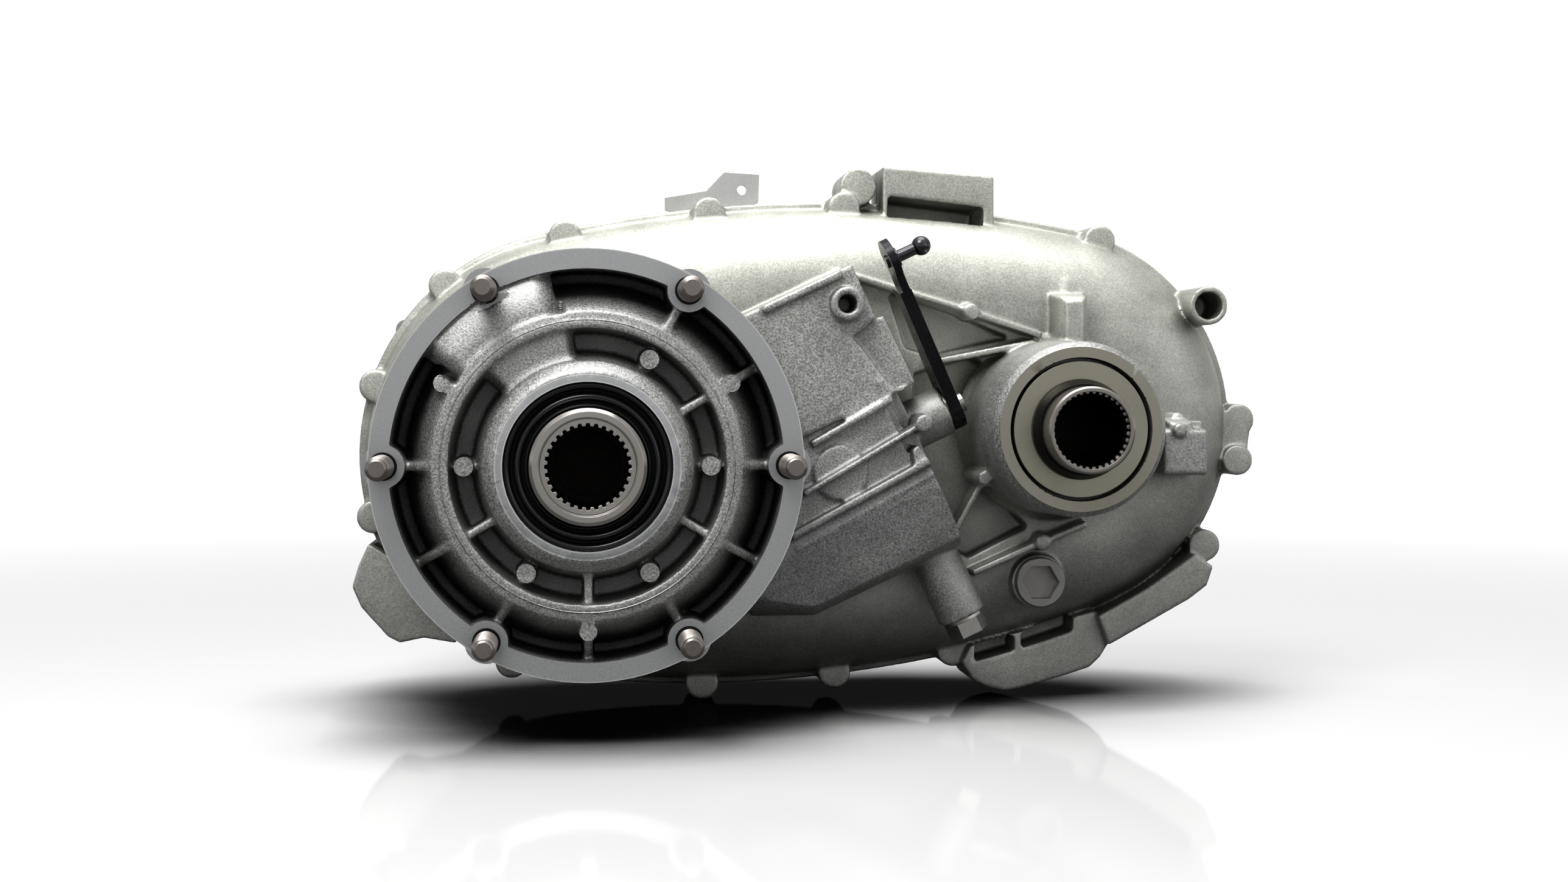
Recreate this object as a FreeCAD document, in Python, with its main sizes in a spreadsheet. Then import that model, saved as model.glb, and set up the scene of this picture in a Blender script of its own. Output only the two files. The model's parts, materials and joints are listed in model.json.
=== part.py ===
"""Part-time four-wheel-drive transfer case, chain driven, with a planetary low range.

Frame: origin at the centre of the input flange's machined face, on the input axis.
+Y runs rearward along the shafts, +X towards the front output, +Z up.  Millimetres.
A casting is a fuse of bodies with the hollows cut out; a turned piece is one revolved body.
Pieces of the shift housing are drawn in a frame turned about Y by shift_tilt, where X
runs along the shift shaft and Z along the lever.
"""
import FreeCAD, Part
import Sketcher
import math
import os
import re

SIZES = {
    # shaft lines
    "centre_distance": 214.3,
    "centre_tilt": 3.64,
    "fit_gap": 0.02,
    "running_gap": 0.05,
    # outline of the split flange: round ends joined by two long arcs
    "input_end_radius": 105.5,
    "output_end_radius": 95.5,
    "belly_radius": 590.0,
    "split_face": 150.0,
    "flange_thickness": 11.0,
    "flange_lip": 3.5,
    "case_wall": 6.0,
    "dome_front": 104.0,
    "dome_round": 38.0,
    "cavity_front": 124.0,
    "cavity_bevel": 20.0,
    "rear_depth": 52.0,
    "rear_round": 20.0,
    "rear_lip": 13.0,
    # bolts along the split flange
    "bolt_radius": 4.0,
    "bolt_boss_radius": 7.6,
    "bolt_boss_front": 22.0,
    "bolt_boss_rear": 14.0,
    "bolt_inset": 3.4,
    "bolt_grip": 18.0,
    "bolt_head_radius": 6.6,
    "bolt_head_height": 8.0,
    # input flange and bell
    "ring_outer_radius": 88.6,
    "ring_inner_radius": 80.4,
    "stud_circle_radius": 82.55,
    "stud_radius": 5.0,
    "stud_reach": 28.0,
    "stud_depth": 20.0,
    "stud_root_radius": 4.8,
    "stud_relief": 1.6,
    "ear_radius": 8.8,
    "pocket_floor": 30.0,
    "floor_back": 38.0,
    "bell_inner_radius": 82.0,
    # drum rib round the hub
    "drum_front": 6.0,
    "drum_inner_radius": 56.2,
    "drum_outer_radius": 63.0,
    "drum_foot_radius": 75.0,
    "drum_step": 3.2,
    "inner_floor": 14.0,
    # hub that holds the seal and the input bearing
    "hub_front": 12.0,
    "hub_face_radius": 37.5,
    "hub_radius": 43.0,
    "hub_round": 3.0,
    "seal_radius": 34.3,
    "seal_recess": 2.5,
    "seal_length": 13.0,
    "seal_shoulder_radius": 31.0,
    # ribs and ejector pads of the flange
    "rib_width": 3.0,
    "outer_rib_front": 12.0,
    "inner_rib_front": 3.0,
    "outer_pad_radius": 3.6,
    "inner_pad_circle": 50.0,
    "inner_pad_radius": 3.9,
    "plateau_drop": 2.0,
    "outer_plateau_start": 101.0,
    "outer_plateau_end": 145.0,
    "inner_plateau_start": 96.5,
    "inner_plateau_end": 139.0,
    # input bearing
    "input_bearing_outer": 40.0,
    "input_bearing_inner": 25.0,
    "input_bearing_front": 18.0,
    "bearing_width": 16.0,
    "race_thickness": 3.5,
    # input shaft
    "tube_front": 14.0,
    "tube_radius": 23.8,
    "tube_chamfer": 1.4,
    "counterbore_radius": 20.0,
    "counterbore_depth": 5.0,
    "spline_root_radius": 17.6,
    "spline_tip_radius": 16.4,
    "spline_teeth": 32,
    "spline_length": 40.0,
    "input_shoulder_radius": 29.0,
    # planetary set
    "gear_module": 1.75,
    "sun_teeth": 34,
    "planet_teeth": 12,
    "planet_count": 4,
    "gear_front": 45.0,
    "gear_width": 20.0,
    "annulus_radius": 58.0,
    "annulus_seat_wall": 6.0,
    "planet_pin_radius": 4.5,
    "carrier_plate": 4.0,
    "carrier_gap": 1.0,
    "carrier_radius": 48.3,
    "carrier_bore": 32.0,
    "clutch_cup_radius": 30.5,
    "clutch_cup_length": 15.0,
    "clutch_teeth": 18,
    "clutch_tip_radius": 26.0,
    "clutch_root_radius": 24.0,
    "low_ring_length": 29.0,
    "low_ring_radius": 44.0,
    "low_ring_bore": 36.0,
    "low_ring_teeth": 27,
    # mainshaft
    "pilot_radius": 12.95,
    "main_radius": 17.0,
    "journal_radius": 20.0,
    # range hub and mode collar
    "range_nose_front": 74.0,
    "range_flange_radius": 33.0,
    "sleeve_radius": 29.0,
    "groove_width": 6.0,
    "groove_flange": 3.0,
    "collar_front": 135.0,
    "fork_plate": 5.0,
    "fork_gap": 0.5,
    "fork_band": 11.0,
    "fork_span": 170.0,
    # chain drive
    "sprocket_teeth": 41,
    "strand_pitches": 22.5,
    "sprocket_front": 150.0,
    "sprocket_width": 25.0,
    "chain_width": 22.0,
    "chain_thickness": 6.4,
    "tooth_height": 3.6,
    "chain_clearance": 0.4,
    # front output
    "output_face": 40.0,
    "output_face_radius": 35.9,
    "output_boss_radius": 38.5,
    "output_boss_foot": 40.5,
    "output_seal_bore": 31.4,
    "shield_radius": 29.6,
    "shield_thickness": 3.0,
    "output_tube_reach": 20.0,
    "output_tube_radius": 18.8,
    "output_bore_radius": 16.6,
    "output_tip_radius": 15.7,
    "output_teeth": 36,
    "output_bearing_outer": 34.0,
    "output_bearing_front": 60.0,
    "rear_journal_radius": 15.0,
    "needle_shell": 2.5,
    # shift housing, in the tilted frame
    "shift_tilt": 25.2,
    "block_front": 58.0,
    "block_top": 28.5,
    "block_right": 141.0,
    "block_step": 31.0,
    "block_lower_step": 68.0,
    "block_bottom": 107.0,
    "block_lower_right": 135.5,
    "block_middle_right": 128.7,
    "block_corner": 62.0,
    "block_recess": 7.0,
    "block_left": 66.0,
    "block_lower_left": 36.0,
    "block_round": 22.0,
    "shift_shaft_depth": 84.0,
    "shift_shaft_height": 49.0,
    "shift_shaft_radius": 8.0,
    "shaft_boss_radius": 11.3,
    "shaft_boss_end": 155.0,
    "lever_thickness": 5.5,
    "lever_reach": 74.0,
    "lever_lean": 14.0,
    "sector_thickness": 5.0,
    "sector_radius": 31.0,
    "sector_front_angle": 27.5,
    "sector_rear_angle": 13.5,
    "fork_pin_arm": 22.0,
    "fork_pin_radius": 3.5,
    "rail_radius": 7.0,
    "fork_boss_radius": 11.5,
    "detent_along": 122.5,
    "detent_boss_radius": 11.0,
    "detent_boss_end": 137.0,
    "detent_bore": 6.0,
    "detent_gap": 0.4,
    "plunger_length": 20.0,
    "detent_plug_depth": 10.0,
    "detent_hex_flats": 16.0,
    "detent_hex_height": 8.5,
    # rear bearing and tail
    "main_bearing_front": 198.0,
    "main_bearing_outer": 36.0,
    "tail_face": 218.0,
    "tail_flange_radius": 50.0,
    "tail_flange_thickness": 9.0,
    "tail_bolt_circle": 46.0,
    "tail_bolt_count": 6,
    "tail_bolt_radius": 4.0,
    "tail_neck_radius": 36.0,
    "tail_tube_radius": 31.0,
    "tail_wall": 4.5,
    "tail_end": 322.0,
    "bushing_radius": 23.0,
    "bushing_length": 24.0,
    "tail_seal_length": 10.0,
    # oil pump
    "pump_front": 180.0,
    "pump_width": 13.0,
    "pump_radius": 34.0,
    "pump_rotor_radius": 27.0,
    "pickup_radius": 5.0,
    # plugs and small fittings
    "plug_radius": 9.0,
    "plug_head_radius": 11.6,
    "plug_head_height": 5.0,
    "plug_socket_flats": 15.0,
    "bracket_thickness": 2.0,
    "sensor_radius": 8.0,
    "tone_radius": 25.0,
    "dowel_radius": 5.0,
    "dowel_length": 14.0,
    # hose tube boss and tapped boss
    "hose_boss_radius": 9.0,
    "hose_bore_radius": 6.4,
    "hose_boss_front": 107.0,
    "tapped_boss_radius": 7.5,
    "tapped_hole_radius": 4.1,
}

DERIVED = {
    "outer_pad_circle": "drum_outer_radius + 4.3",
    "lip_radius": "output_tube_radius + 3",
    "rail_along": "detent_along - 22.5",
    "sector_start": "detent_along - 3",
    "sector_back": "sector_start + sector_thickness",
    "sector_rim": "shift_shaft_height + sector_radius",
    "front_x": "centre_distance * cos(centre_tilt * 1deg)",
    "front_z": "centre_distance * sin(centre_tilt * 1deg)",
    "rear_face": "split_face + rear_depth",
    "gear_back": "gear_front + gear_width",
    "cup_back": "gear_back + clutch_cup_length",
    "carrier_front": "gear_front - carrier_gap - carrier_plate",
    "carrier_back": "gear_back + carrier_gap + carrier_plate",
    "low_ring_back": "carrier_back + low_ring_length",
    "planet_circle": "gear_module * (sun_teeth + planet_teeth) / 2",
    "annulus_teeth": "sun_teeth + 2 * planet_teeth",
    "annulus_back": "gear_back + 1",
    "seat_back": "annulus_back + 4",
    "seal_front": "seal_recess - hub_front",
    "seal_back": "seal_front + seal_length",
    "bearing_back": "input_bearing_front + bearing_width",
    "range_flange_front": "range_nose_front + 12",
    "range_groove_front": "range_flange_front + 21",
    "range_back": "range_groove_front + groove_width + groove_flange",
    "collar_groove_front": "collar_front + 4",
    "collar_back": "collar_front + 13",
    "chain_pitch": "centre_distance / strand_pitches",
    "pitch_radius": "chain_pitch * sprocket_teeth / (2 * 3.14159265)",
    "sprocket_back": "sprocket_front + sprocket_width",
    "chain_front": "sprocket_front + (sprocket_width - chain_width) / 2",
    "sprocket_tip": "pitch_radius - 1.1",
    "shaft_z": "-shift_shaft_height",
    "rail_z": "-shift_shaft_height - fork_pin_arm",
    "rail_front": "block_front + 6",
    "rail_back": "sprocket_front + 26",
    "tail_neck_back": "tail_face + 24",
    "sensor_depth": "tail_face + 23",
    "tail_spline_start": "sensor_depth + 6",
    "lever_start": "shaft_boss_end + 0.5",
    "lever_end": "lever_start + lever_thickness",
    "main_bearing_back": "main_bearing_front + bearing_width",
}

FUNCTIONS = ("cos", "sin", "tan", "sqrt")
VECTOR = FreeCAD.Vector
ALONG_Y = VECTOR(0, 1, 0)

doc = FreeCAD.newDocument("transfer_case")
sheet = doc.addObject("Spreadsheet::Sheet", "sizes")
for row, (alias, number) in enumerate(SIZES.items(), start=1):
    sheet.set("A%d" % row, alias)
    sheet.set("B%d" % row, str(number))
    sheet.setAlias("B%d" % row, alias)
doc.recompute()

parts = []


# ---------------------------------------------------------------- sizes and places

def formula(text):
    """The expression with each size's name written as a cell of the sheet."""
    def spelled(match):
        word = match.group(0)
        if word in FUNCTIONS:
            return word
        if word in DERIVED:
            return "(" + formula(DERIVED[word]) + ")"
        return "sizes." + word
    return re.sub(r"\b[a-z][a-z_0-9]*\b", spelled, str(text))


def size(text):
    """The number that a formula gives now."""
    return float(sheet.evalExpression(formula(text)))


def bind(thing, field, text):
    thing.setExpression(field, formula(text))


def on_axis(x=0.0, y=0.0, z=0.0):
    return FreeCAD.Placement(VECTOR(x, y, z), FreeCAD.Rotation())


def front_axis():
    return on_axis(size("front_x"), 0, size("front_z"))


def tilted():
    """The shift housing's frame: X along the shift shaft, Z along the lever."""
    return FreeCAD.Placement(VECTOR(), FreeCAD.Rotation(ALONG_Y, -size("shift_tilt")))


def polar(radius, degrees):
    """A point of the X-Z plane, its angle anticlockwise as seen from the front."""
    angle = math.radians(degrees)
    return VECTOR(radius * math.cos(angle), 0, radius * math.sin(angle))


def belly_centres():
    """Centres of the long arcs over the top and under the bottom of the outline."""
    span = size("centre_distance")
    left = size("belly_radius - input_end_radius")
    right = size("belly_radius - output_end_radius")
    along = (span ** 2 - right ** 2 + left ** 2) / (2 * span)
    across = math.sqrt(left ** 2 - along ** 2)
    tilt = math.radians(size("centre_tilt"))
    run = VECTOR(math.cos(tilt), 0, math.sin(tilt))
    rise = VECTOR(-math.sin(tilt), 0, math.cos(tilt))
    return run * along - rise * across, run * along + rise * across


# ---------------------------------------------------------------- building blocks

def new_body(label, place):
    body = doc.addObject("PartDesign::Body", label)
    body.Label = label
    body.Placement = place or FreeCAD.Placement()
    return body


def new_sketch(body, role, depth=None):
    sketch = body.newObject("Sketcher::SketchObject", "outline")
    plane = [item for item in body.Origin.OriginFeatures if item.Role == role][0]
    sketch.AttachmentSupport = [(plane, "")]
    sketch.MapMode = "FlatFace"
    if depth is not None:
        sketch.AttachmentOffset = on_axis(0, 0, -size(depth))
        bind(sketch, "AttachmentOffset.Base.z", "-(%s)" % depth)
    return sketch


def draw_polygon(sketch, corners):
    """A closed outline whose corners are bound to the sheet."""
    points = [(size(u), size(v)) for u, v in corners]
    count = len(points)
    for index in range(count):
        start = VECTOR(*points[index], 0)
        end = VECTOR(*points[(index + 1) % count], 0)
        sketch.addGeometry(Part.LineSegment(start, end))
    for index in range(count):
        sketch.addConstraint(Sketcher.Constraint("Coincident", index, 2, (index + 1) % count, 1))
    for index, (u, v) in enumerate(corners):
        for kind, text, number in (("DistanceX", u, points[index][0]), ("DistanceY", v, points[index][1])):
            place = sketch.addConstraint(Sketcher.Constraint(kind, -1, 1, index, 1, number))
            bind(sketch, "Constraints[%d]" % place, text)


def revolved(label, profile, place=None, sweep=360):
    """A turned piece: corners are radius and depth, revolved about the body's own Y axis."""
    body = new_body(label, place)
    sketch = new_sketch(body, "XY_Plane")
    draw_polygon(sketch, profile)
    turn = body.newObject("PartDesign::Revolution", "turn")
    turn.Profile = sketch
    turn.ReferenceAxis = (sketch, ["V_Axis"])
    turn.Angle = sweep
    return body


def tube(label, inner, outer, near, far, place=None):
    profile = [(inner, near), (outer, near), (outer, far), (inner, far)]
    return revolved(label, profile, place)


def padded(label, corners, near, far, place=None):
    """A plate or block: its outline seen from the front, from depth near to depth far."""
    body = new_body(label, place)
    sketch = new_sketch(body, "XZ_Plane", near)
    draw_polygon(sketch, corners)
    pad = body.newObject("PartDesign::Pad", "pad")
    pad.Profile = sketch
    bind(pad, "Length", "(%s) - (%s)" % (far, near))
    pad.Reversed = True
    return body


def rectangle(left, right, low, high):
    return [(left, low), (right, low), (right, high), (left, high)]


def edges_at(shape, axis, depth):
    """Names of the edges that lie wholly at one depth along an axis."""
    names = []
    for number, edge in enumerate(shape.Edges, start=1):
        box = edge.BoundBox
        low, high = getattr(box, axis + "Min"), getattr(box, axis + "Max")
        if abs(low - depth) < 0.01 and abs(high - depth) < 0.01:
            names.append("Edge%d" % number)
    return names


def round_edges(body, base, names, radius):
    doc.recompute()
    fillet = body.newObject("PartDesign::Fillet", "round")
    fillet.Base = (base, names)
    bind(fillet, "Radius", radius)
    return fillet


def bevel_edges(body, base, names, width):
    doc.recompute()
    bevel = body.newObject("PartDesign::Chamfer", "bevel")
    bevel.Base = (base, names)
    bind(bevel, "Size", width)
    return bevel


def draw_belly(sketch, inset):
    """The case outline, drawn in by an inset: two round ends and two long arcs, all tangent."""
    top, bottom = belly_centres()
    ends = [(VECTOR(), "input_end_radius"), (front_axis().Base, "output_end_radius")]
    circles = [
        (top, "belly_radius", ends[1][0], ends[0][0]),
        (ends[0][0], "input_end_radius", top, bottom),
        (bottom, "belly_radius", ends[0][0], ends[1][0]),
        (ends[1][0], "output_end_radius", bottom, top),
    ]
    for centre, radius, first, last in circles:
        outward = 1 if radius == "belly_radius" else -1
        reach = size(radius) - size(inset)
        angles = []
        for other in (first, last):
            way = (other - centre) * outward
            angles.append(math.atan2(way.z, way.x))
        circle = Part.Circle(VECTOR(centre.x, centre.z, 0), VECTOR(0, 0, 1), reach)
        sketch.addGeometry(Part.ArcOfCircle(circle, angles[0], angles[1]))
    for index in range(4):
        sketch.addConstraint(Sketcher.Constraint("Tangent", index, 2, (index + 1) % 4, 1))
    for index, (centre, radius, first, last) in enumerate(circles):
        reach = size(radius) - size(inset)
        place = sketch.addConstraint(Sketcher.Constraint("Radius", index, reach))
        bind(sketch, "Constraints[%d]" % place, "%s - (%s)" % (radius, inset))
    for index, u, v in ((1, "0", "0"), (3, "front_x", "front_z")):
        for kind, text in (("DistanceX", u), ("DistanceY", v)):
            place = sketch.addConstraint(Sketcher.Constraint(kind, -1, 1, index, 3, size(text)))
            bind(sketch, "Constraints[%d]" % place, text)


def belly(label, inset, near, far, rim=None, width=None, finish=round_edges):
    """A slab with the case outline, one of its rims rounded or bevelled."""
    body = new_body(label, None)
    sketch = new_sketch(body, "XZ_Plane", near)
    draw_belly(sketch, inset)
    pad = body.newObject("PartDesign::Pad", "pad")
    pad.Profile = sketch
    bind(pad, "Length", "(%s) - (%s)" % (far, near))
    pad.Reversed = True
    if rim:
        doc.recompute()
        finish(body, pad, edges_at(pad.Shape, "Y", size(rim)), width)
    return body


def cylinder(label, radius, length, start, way=ALONG_Y, place=None):
    """A round bar that starts at a point and runs along a direction."""
    bar = doc.addObject("Part::Cylinder", label)
    bar.Label = label
    bind(bar, "Radius", radius)
    bind(bar, "Height", length)
    turn = FreeCAD.Rotation(VECTOR(0, 0, 1), way)
    bar.Placement = (place or FreeCAD.Placement()).multiply(FreeCAD.Placement(start, turn))
    return bar


def fused(label, pieces):
    if len(pieces) == 1:
        pieces[0].Label = label
        return pieces[0]
    union = doc.addObject("Part::MultiFuse", label)
    union.Label = label
    union.Shapes = pieces
    return union


def carved(label, base, tools):
    """A piece with its hollows taken out."""
    cut = doc.addObject("Part::Cut", label)
    cut.Base = base
    cut.Tool = fused(label + "_hollows", tools)
    cut.Label = label
    return cut


def part(thing, label=None):
    """Marks an object as a sub-part to be written."""
    if label:
        thing.Label = label
    parts.append(thing)
    return thing


def shaped(label, shape):
    """A sub-part whose outline comes from a formula."""
    feature = doc.addObject("Part::Feature", label)
    feature.Label = label
    feature.Shape = shape
    return feature


def grouped(label, pieces):
    """Like pieces of one kind, kept as separate solids of one sub-part."""
    group = doc.addObject("Part::Compound", label)
    group.Label = label
    group.Links = pieces
    return group


def toothed_wire(teeth, foot, tip, foot_half, tip_half, phase, depth):
    """Outline of a toothed wheel: each tooth has a foot and a tip, as half angles in degrees."""
    points = []
    for index in range(int(teeth)):
        middle = phase + index * 360.0 / teeth
        for radius, offset in ((foot, -foot_half), (tip, -tip_half), (tip, tip_half), (foot, foot_half)):
            points.append(polar(radius, middle + offset) + VECTOR(0, depth, 0))
    return Part.makePolygon(points + points[:1])


def prism(outer, inner, length):
    """A ring or disc between two outlines, drawn rearward."""
    face = Part.Face([outer] + ([inner] if inner else []))
    return face.extrude(VECTOR(0, length, 0))


def circle_wire(radius, depth, centre=VECTOR()):
    middle = VECTOR(centre.x, depth, centre.z)
    return Part.Wire(Part.makeCircle(radius, middle, ALONG_Y))


def hexagon(flats, start, way, length, place=None):
    """A hexagonal bar along a direction."""
    reach = flats / math.sqrt(3)
    points = [VECTOR(reach * math.cos(math.radians(60 * k)), reach * math.sin(math.radians(60 * k)),
                     0) for k in range(7)]
    bar = Part.Face(Part.makePolygon(points)).extrude(VECTOR(0, 0, length))
    turn = FreeCAD.Placement(start, FreeCAD.Rotation(VECTOR(0, 0, 1), way))
    bar.Placement = (place or FreeCAD.Placement()).multiply(turn)
    return bar


def box(label, length, depth, height, corner, place=None):
    """A block from one corner, bound to the sheet."""
    block = doc.addObject("Part::Box", label)
    block.Label = label
    bind(block, "Length", length)
    bind(block, "Width", depth)
    bind(block, "Height", height)
    block.Placement = (place or FreeCAD.Placement()).multiply(on_axis(*corner))
    return block


def turned_about_y(degrees):
    """Turns a thing drawn along +X to an angle, anticlockwise as seen from the front."""
    return FreeCAD.Placement(VECTOR(), FreeCAD.Rotation(ALONG_Y, -degrees))


def radial_rib(label, inner, outer, width, near, far, degrees, centre=None):
    place = (centre or FreeCAD.Placement()).multiply(turned_about_y(degrees))
    corner = (size(inner), size(near), -size(width) / 2)
    return box(label, "(%s) - (%s)" % (outer, inner), "(%s) - (%s)" % (far, near), width, corner, place)


def wall_between(label, start, end, width, near, far):
    """A thin rib between two points of the X-Z plane."""
    run = VECTOR(end[0] - start[0], 0, end[1] - start[1])
    degrees = math.degrees(math.atan2(run.z, run.x))
    place = on_axis(start[0], 0, start[1]).multiply(turned_about_y(degrees))
    corner = (0, size(near), -size(width) / 2)
    return box(label, str(run.Length), "(%s) - (%s)" % (far, near), width, corner, place)


# ---------------------------------------------------------------- places shared by several pieces

RING_ANGLES = (0, 60, 120, 180, 240, 300)
OUTER_RIB_ANGLES = (0, 30, 60, 180, 210, 240, 270, 300, 330)
INNER_RIB_ANGLES = (30, 210, 270, 330)
OUTER_PAD_ANGLES = (30, 150, 270)
INNER_PAD_ANGLES = (0, 60, 180, 240, 300)

# centre of the arc, angle on it, and how far outside the usual bolt line
CASE_BOLTS = (
    ("input", 95.5, 0), ("input", 129.5, 0), ("input", 161.5, 0), ("input", 196, 0),
    ("input", 217, 9), ("input", 250, 0), ("top", 95.6, 0), ("top", 89.4, 0),
    ("output", 71.6, 0), ("output", 1.5, 5), ("output", -35.5, 7),
    ("bottom", -90, 2), ("bottom", -83.9, 1), ("bottom", -78.3, 0),
)
DOWELS = (("input", 145, 0), ("output", 40, 0))

WINDOW_LUG = [("139", "104"), ("192", "104"), ("192", "131.3"), ("139", "135.5")]
WINDOW = [("141", "109.8"), ("186.5", "105.3"), ("187", "116.6"), ("141.5", "121.8")]
FOOT_LUG = [
    ("176", "-98"), ("181.5", "-106.8"), ("188", "-110"), ("197", "-112"), ("204", "-110.5"),
    ("225.6", "-104.7"), ("237.3", "-101"), ("242.6", "-96"), ("250", "-84"), ("240", "-74"),
    ("180", "-90"),
]
CORNER_LUG = [
    ("245", "-90"), ("262", "-80.6"), ("284", "-68.4"), ("292.5", "-62"), ("295.5", "-53"),
    ("287", "-47"), ("262", "-64"), ("240", "-76"),
]
SIDE_LUG = [
    ("-60", "-86.5"), ("-75", "-83.8"), ("-86", "-86"), ("-91.5", "-83"), ("-103.5", "-69.5"),
    ("-107.6", "-60"), ("-104.6", "-50"), ("-100", "-40"), ("-60", "-66"),
]
RAIL_AND_FORKS = ("60", "112", "-46", "12")


def outline_point(arc, degrees, beyond):
    """A point on the bolt line of the split flange."""
    top, bottom = belly_centres()
    centres = {"input": VECTOR(), "output": front_axis().Base, "top": top, "bottom": bottom}
    radii = {"input": "input_end_radius", "output": "output_end_radius"}
    reach = size(radii.get(arc, "belly_radius")) - size("bolt_inset") + beyond
    return centres[arc] + polar(reach, degrees)


def at_depth(point, depth):
    return VECTOR(point.x, size(depth), point.z)


def in_tilted(along, depth, height):
    """A point given in the shift housing's frame, in the row's frame."""
    return tilted().multVec(VECTOR(size(along), size(depth), size(height)))


def rail_point():
    return in_tilted("rail_along", "0", "rail_z")


# ---------------------------------------------------------------- front case

def ring_details():
    """Ears, ribs, pads and plateaus between the machined ring and the hub."""
    pieces = []
    for angle in RING_ANGLES:
        start = polar(size("stud_circle_radius"), angle)
        pieces.append(cylinder("ear", "ear_radius", "pocket_floor + 2", start))
    for angle in OUTER_RIB_ANGLES:
        pieces.append(radial_rib("outer_rib", "drum_outer_radius - 1", "ring_inner_radius + 1", "rib_width",
                                 "outer_rib_front", "pocket_floor + 2", angle))
    for angle in INNER_RIB_ANGLES:
        pieces.append(radial_rib("inner_rib", "hub_radius - 1", "drum_inner_radius + 1", "rib_width",
                                 "inner_rib_front", "inner_floor + 2", angle))
    for angle in OUTER_PAD_ANGLES:
        start = at_depth(polar(size("outer_pad_circle"), angle), "-drum_front + 1")
        pieces.append(cylinder("outer_pad", "outer_pad_radius", "pocket_floor + drum_front + 1", start))
        pieces.append(radial_rib("pad_neck", "drum_outer_radius - 1", "outer_pad_circle",
                                 "outer_pad_radius + 1.4",
                                 "1 - drum_front", "pocket_floor + 2", angle))
    for angle in INNER_PAD_ANGLES:
        start = at_depth(polar(size("inner_pad_circle"), angle), "-drum_front + 2")
        pieces.append(cylinder("inner_pad", "inner_pad_radius", "inner_floor + drum_front", start))
    for label, inner, outer, start, end, back in (
        ("outer_plateau", "drum_outer_radius - 1", "drum_foot_radius + 1", "outer_plateau_start",
         "outer_plateau_end", "pocket_floor + 2"),
        ("inner_plateau", "hub_radius - 1", "drum_inner_radius + 1", "inner_plateau_start",
         "inner_plateau_end", "inner_floor + 2"),
    ):
        front = "plateau_drop - drum_front"
        profile = [(inner, front), (outer, front), (outer, back), (inner, back)]
        sweep = size(end) - size(start)
        pieces.append(revolved(label, profile, turned_about_y(size(end)), sweep))
    return pieces


def bell():
    """Hub, drum rib, pockets, machined ring, outer wall and the annulus gear's seat."""
    seat_outer = "annulus_radius + annulus_seat_wall"
    return revolved("bell", [
        ("seal_radius", "-hub_front"), ("hub_face_radius", "-hub_front"),
        ("hub_face_radius + 2", "-hub_front + 1"), ("hub_radius", "-hub_front + hub_round + 2"),
        ("hub_radius + 1", "inner_floor"), ("drum_inner_radius - 1", "inner_floor"),
        ("drum_inner_radius", "-drum_front"), ("drum_inner_radius + drum_step", "-drum_front"),
        ("drum_inner_radius + drum_step", "0.7 - drum_front"), ("drum_outer_radius", "0.7 - drum_front"),
        ("drum_outer_radius + 3", "-drum_front + 8"), ("drum_foot_radius", "pocket_floor"),
        ("ring_inner_radius", "pocket_floor"), ("ring_inner_radius", "0"), ("ring_outer_radius", "0"),
        ("ring_outer_radius", "dome_front + 8"), ("bell_inner_radius", "dome_front + 8"),
        ("bell_inner_radius", "floor_back"), (seat_outer, "floor_back"), (seat_outer, "seat_back"),
        ("annulus_radius", "seat_back"), ("annulus_radius", "floor_back"),
        ("input_bearing_outer", "floor_back"), ("input_bearing_outer", "input_bearing_front"),
        ("seal_shoulder_radius", "input_bearing_front"), ("seal_shoulder_radius", "seal_back"),
        ("seal_radius", "seal_back"),
    ])


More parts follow.
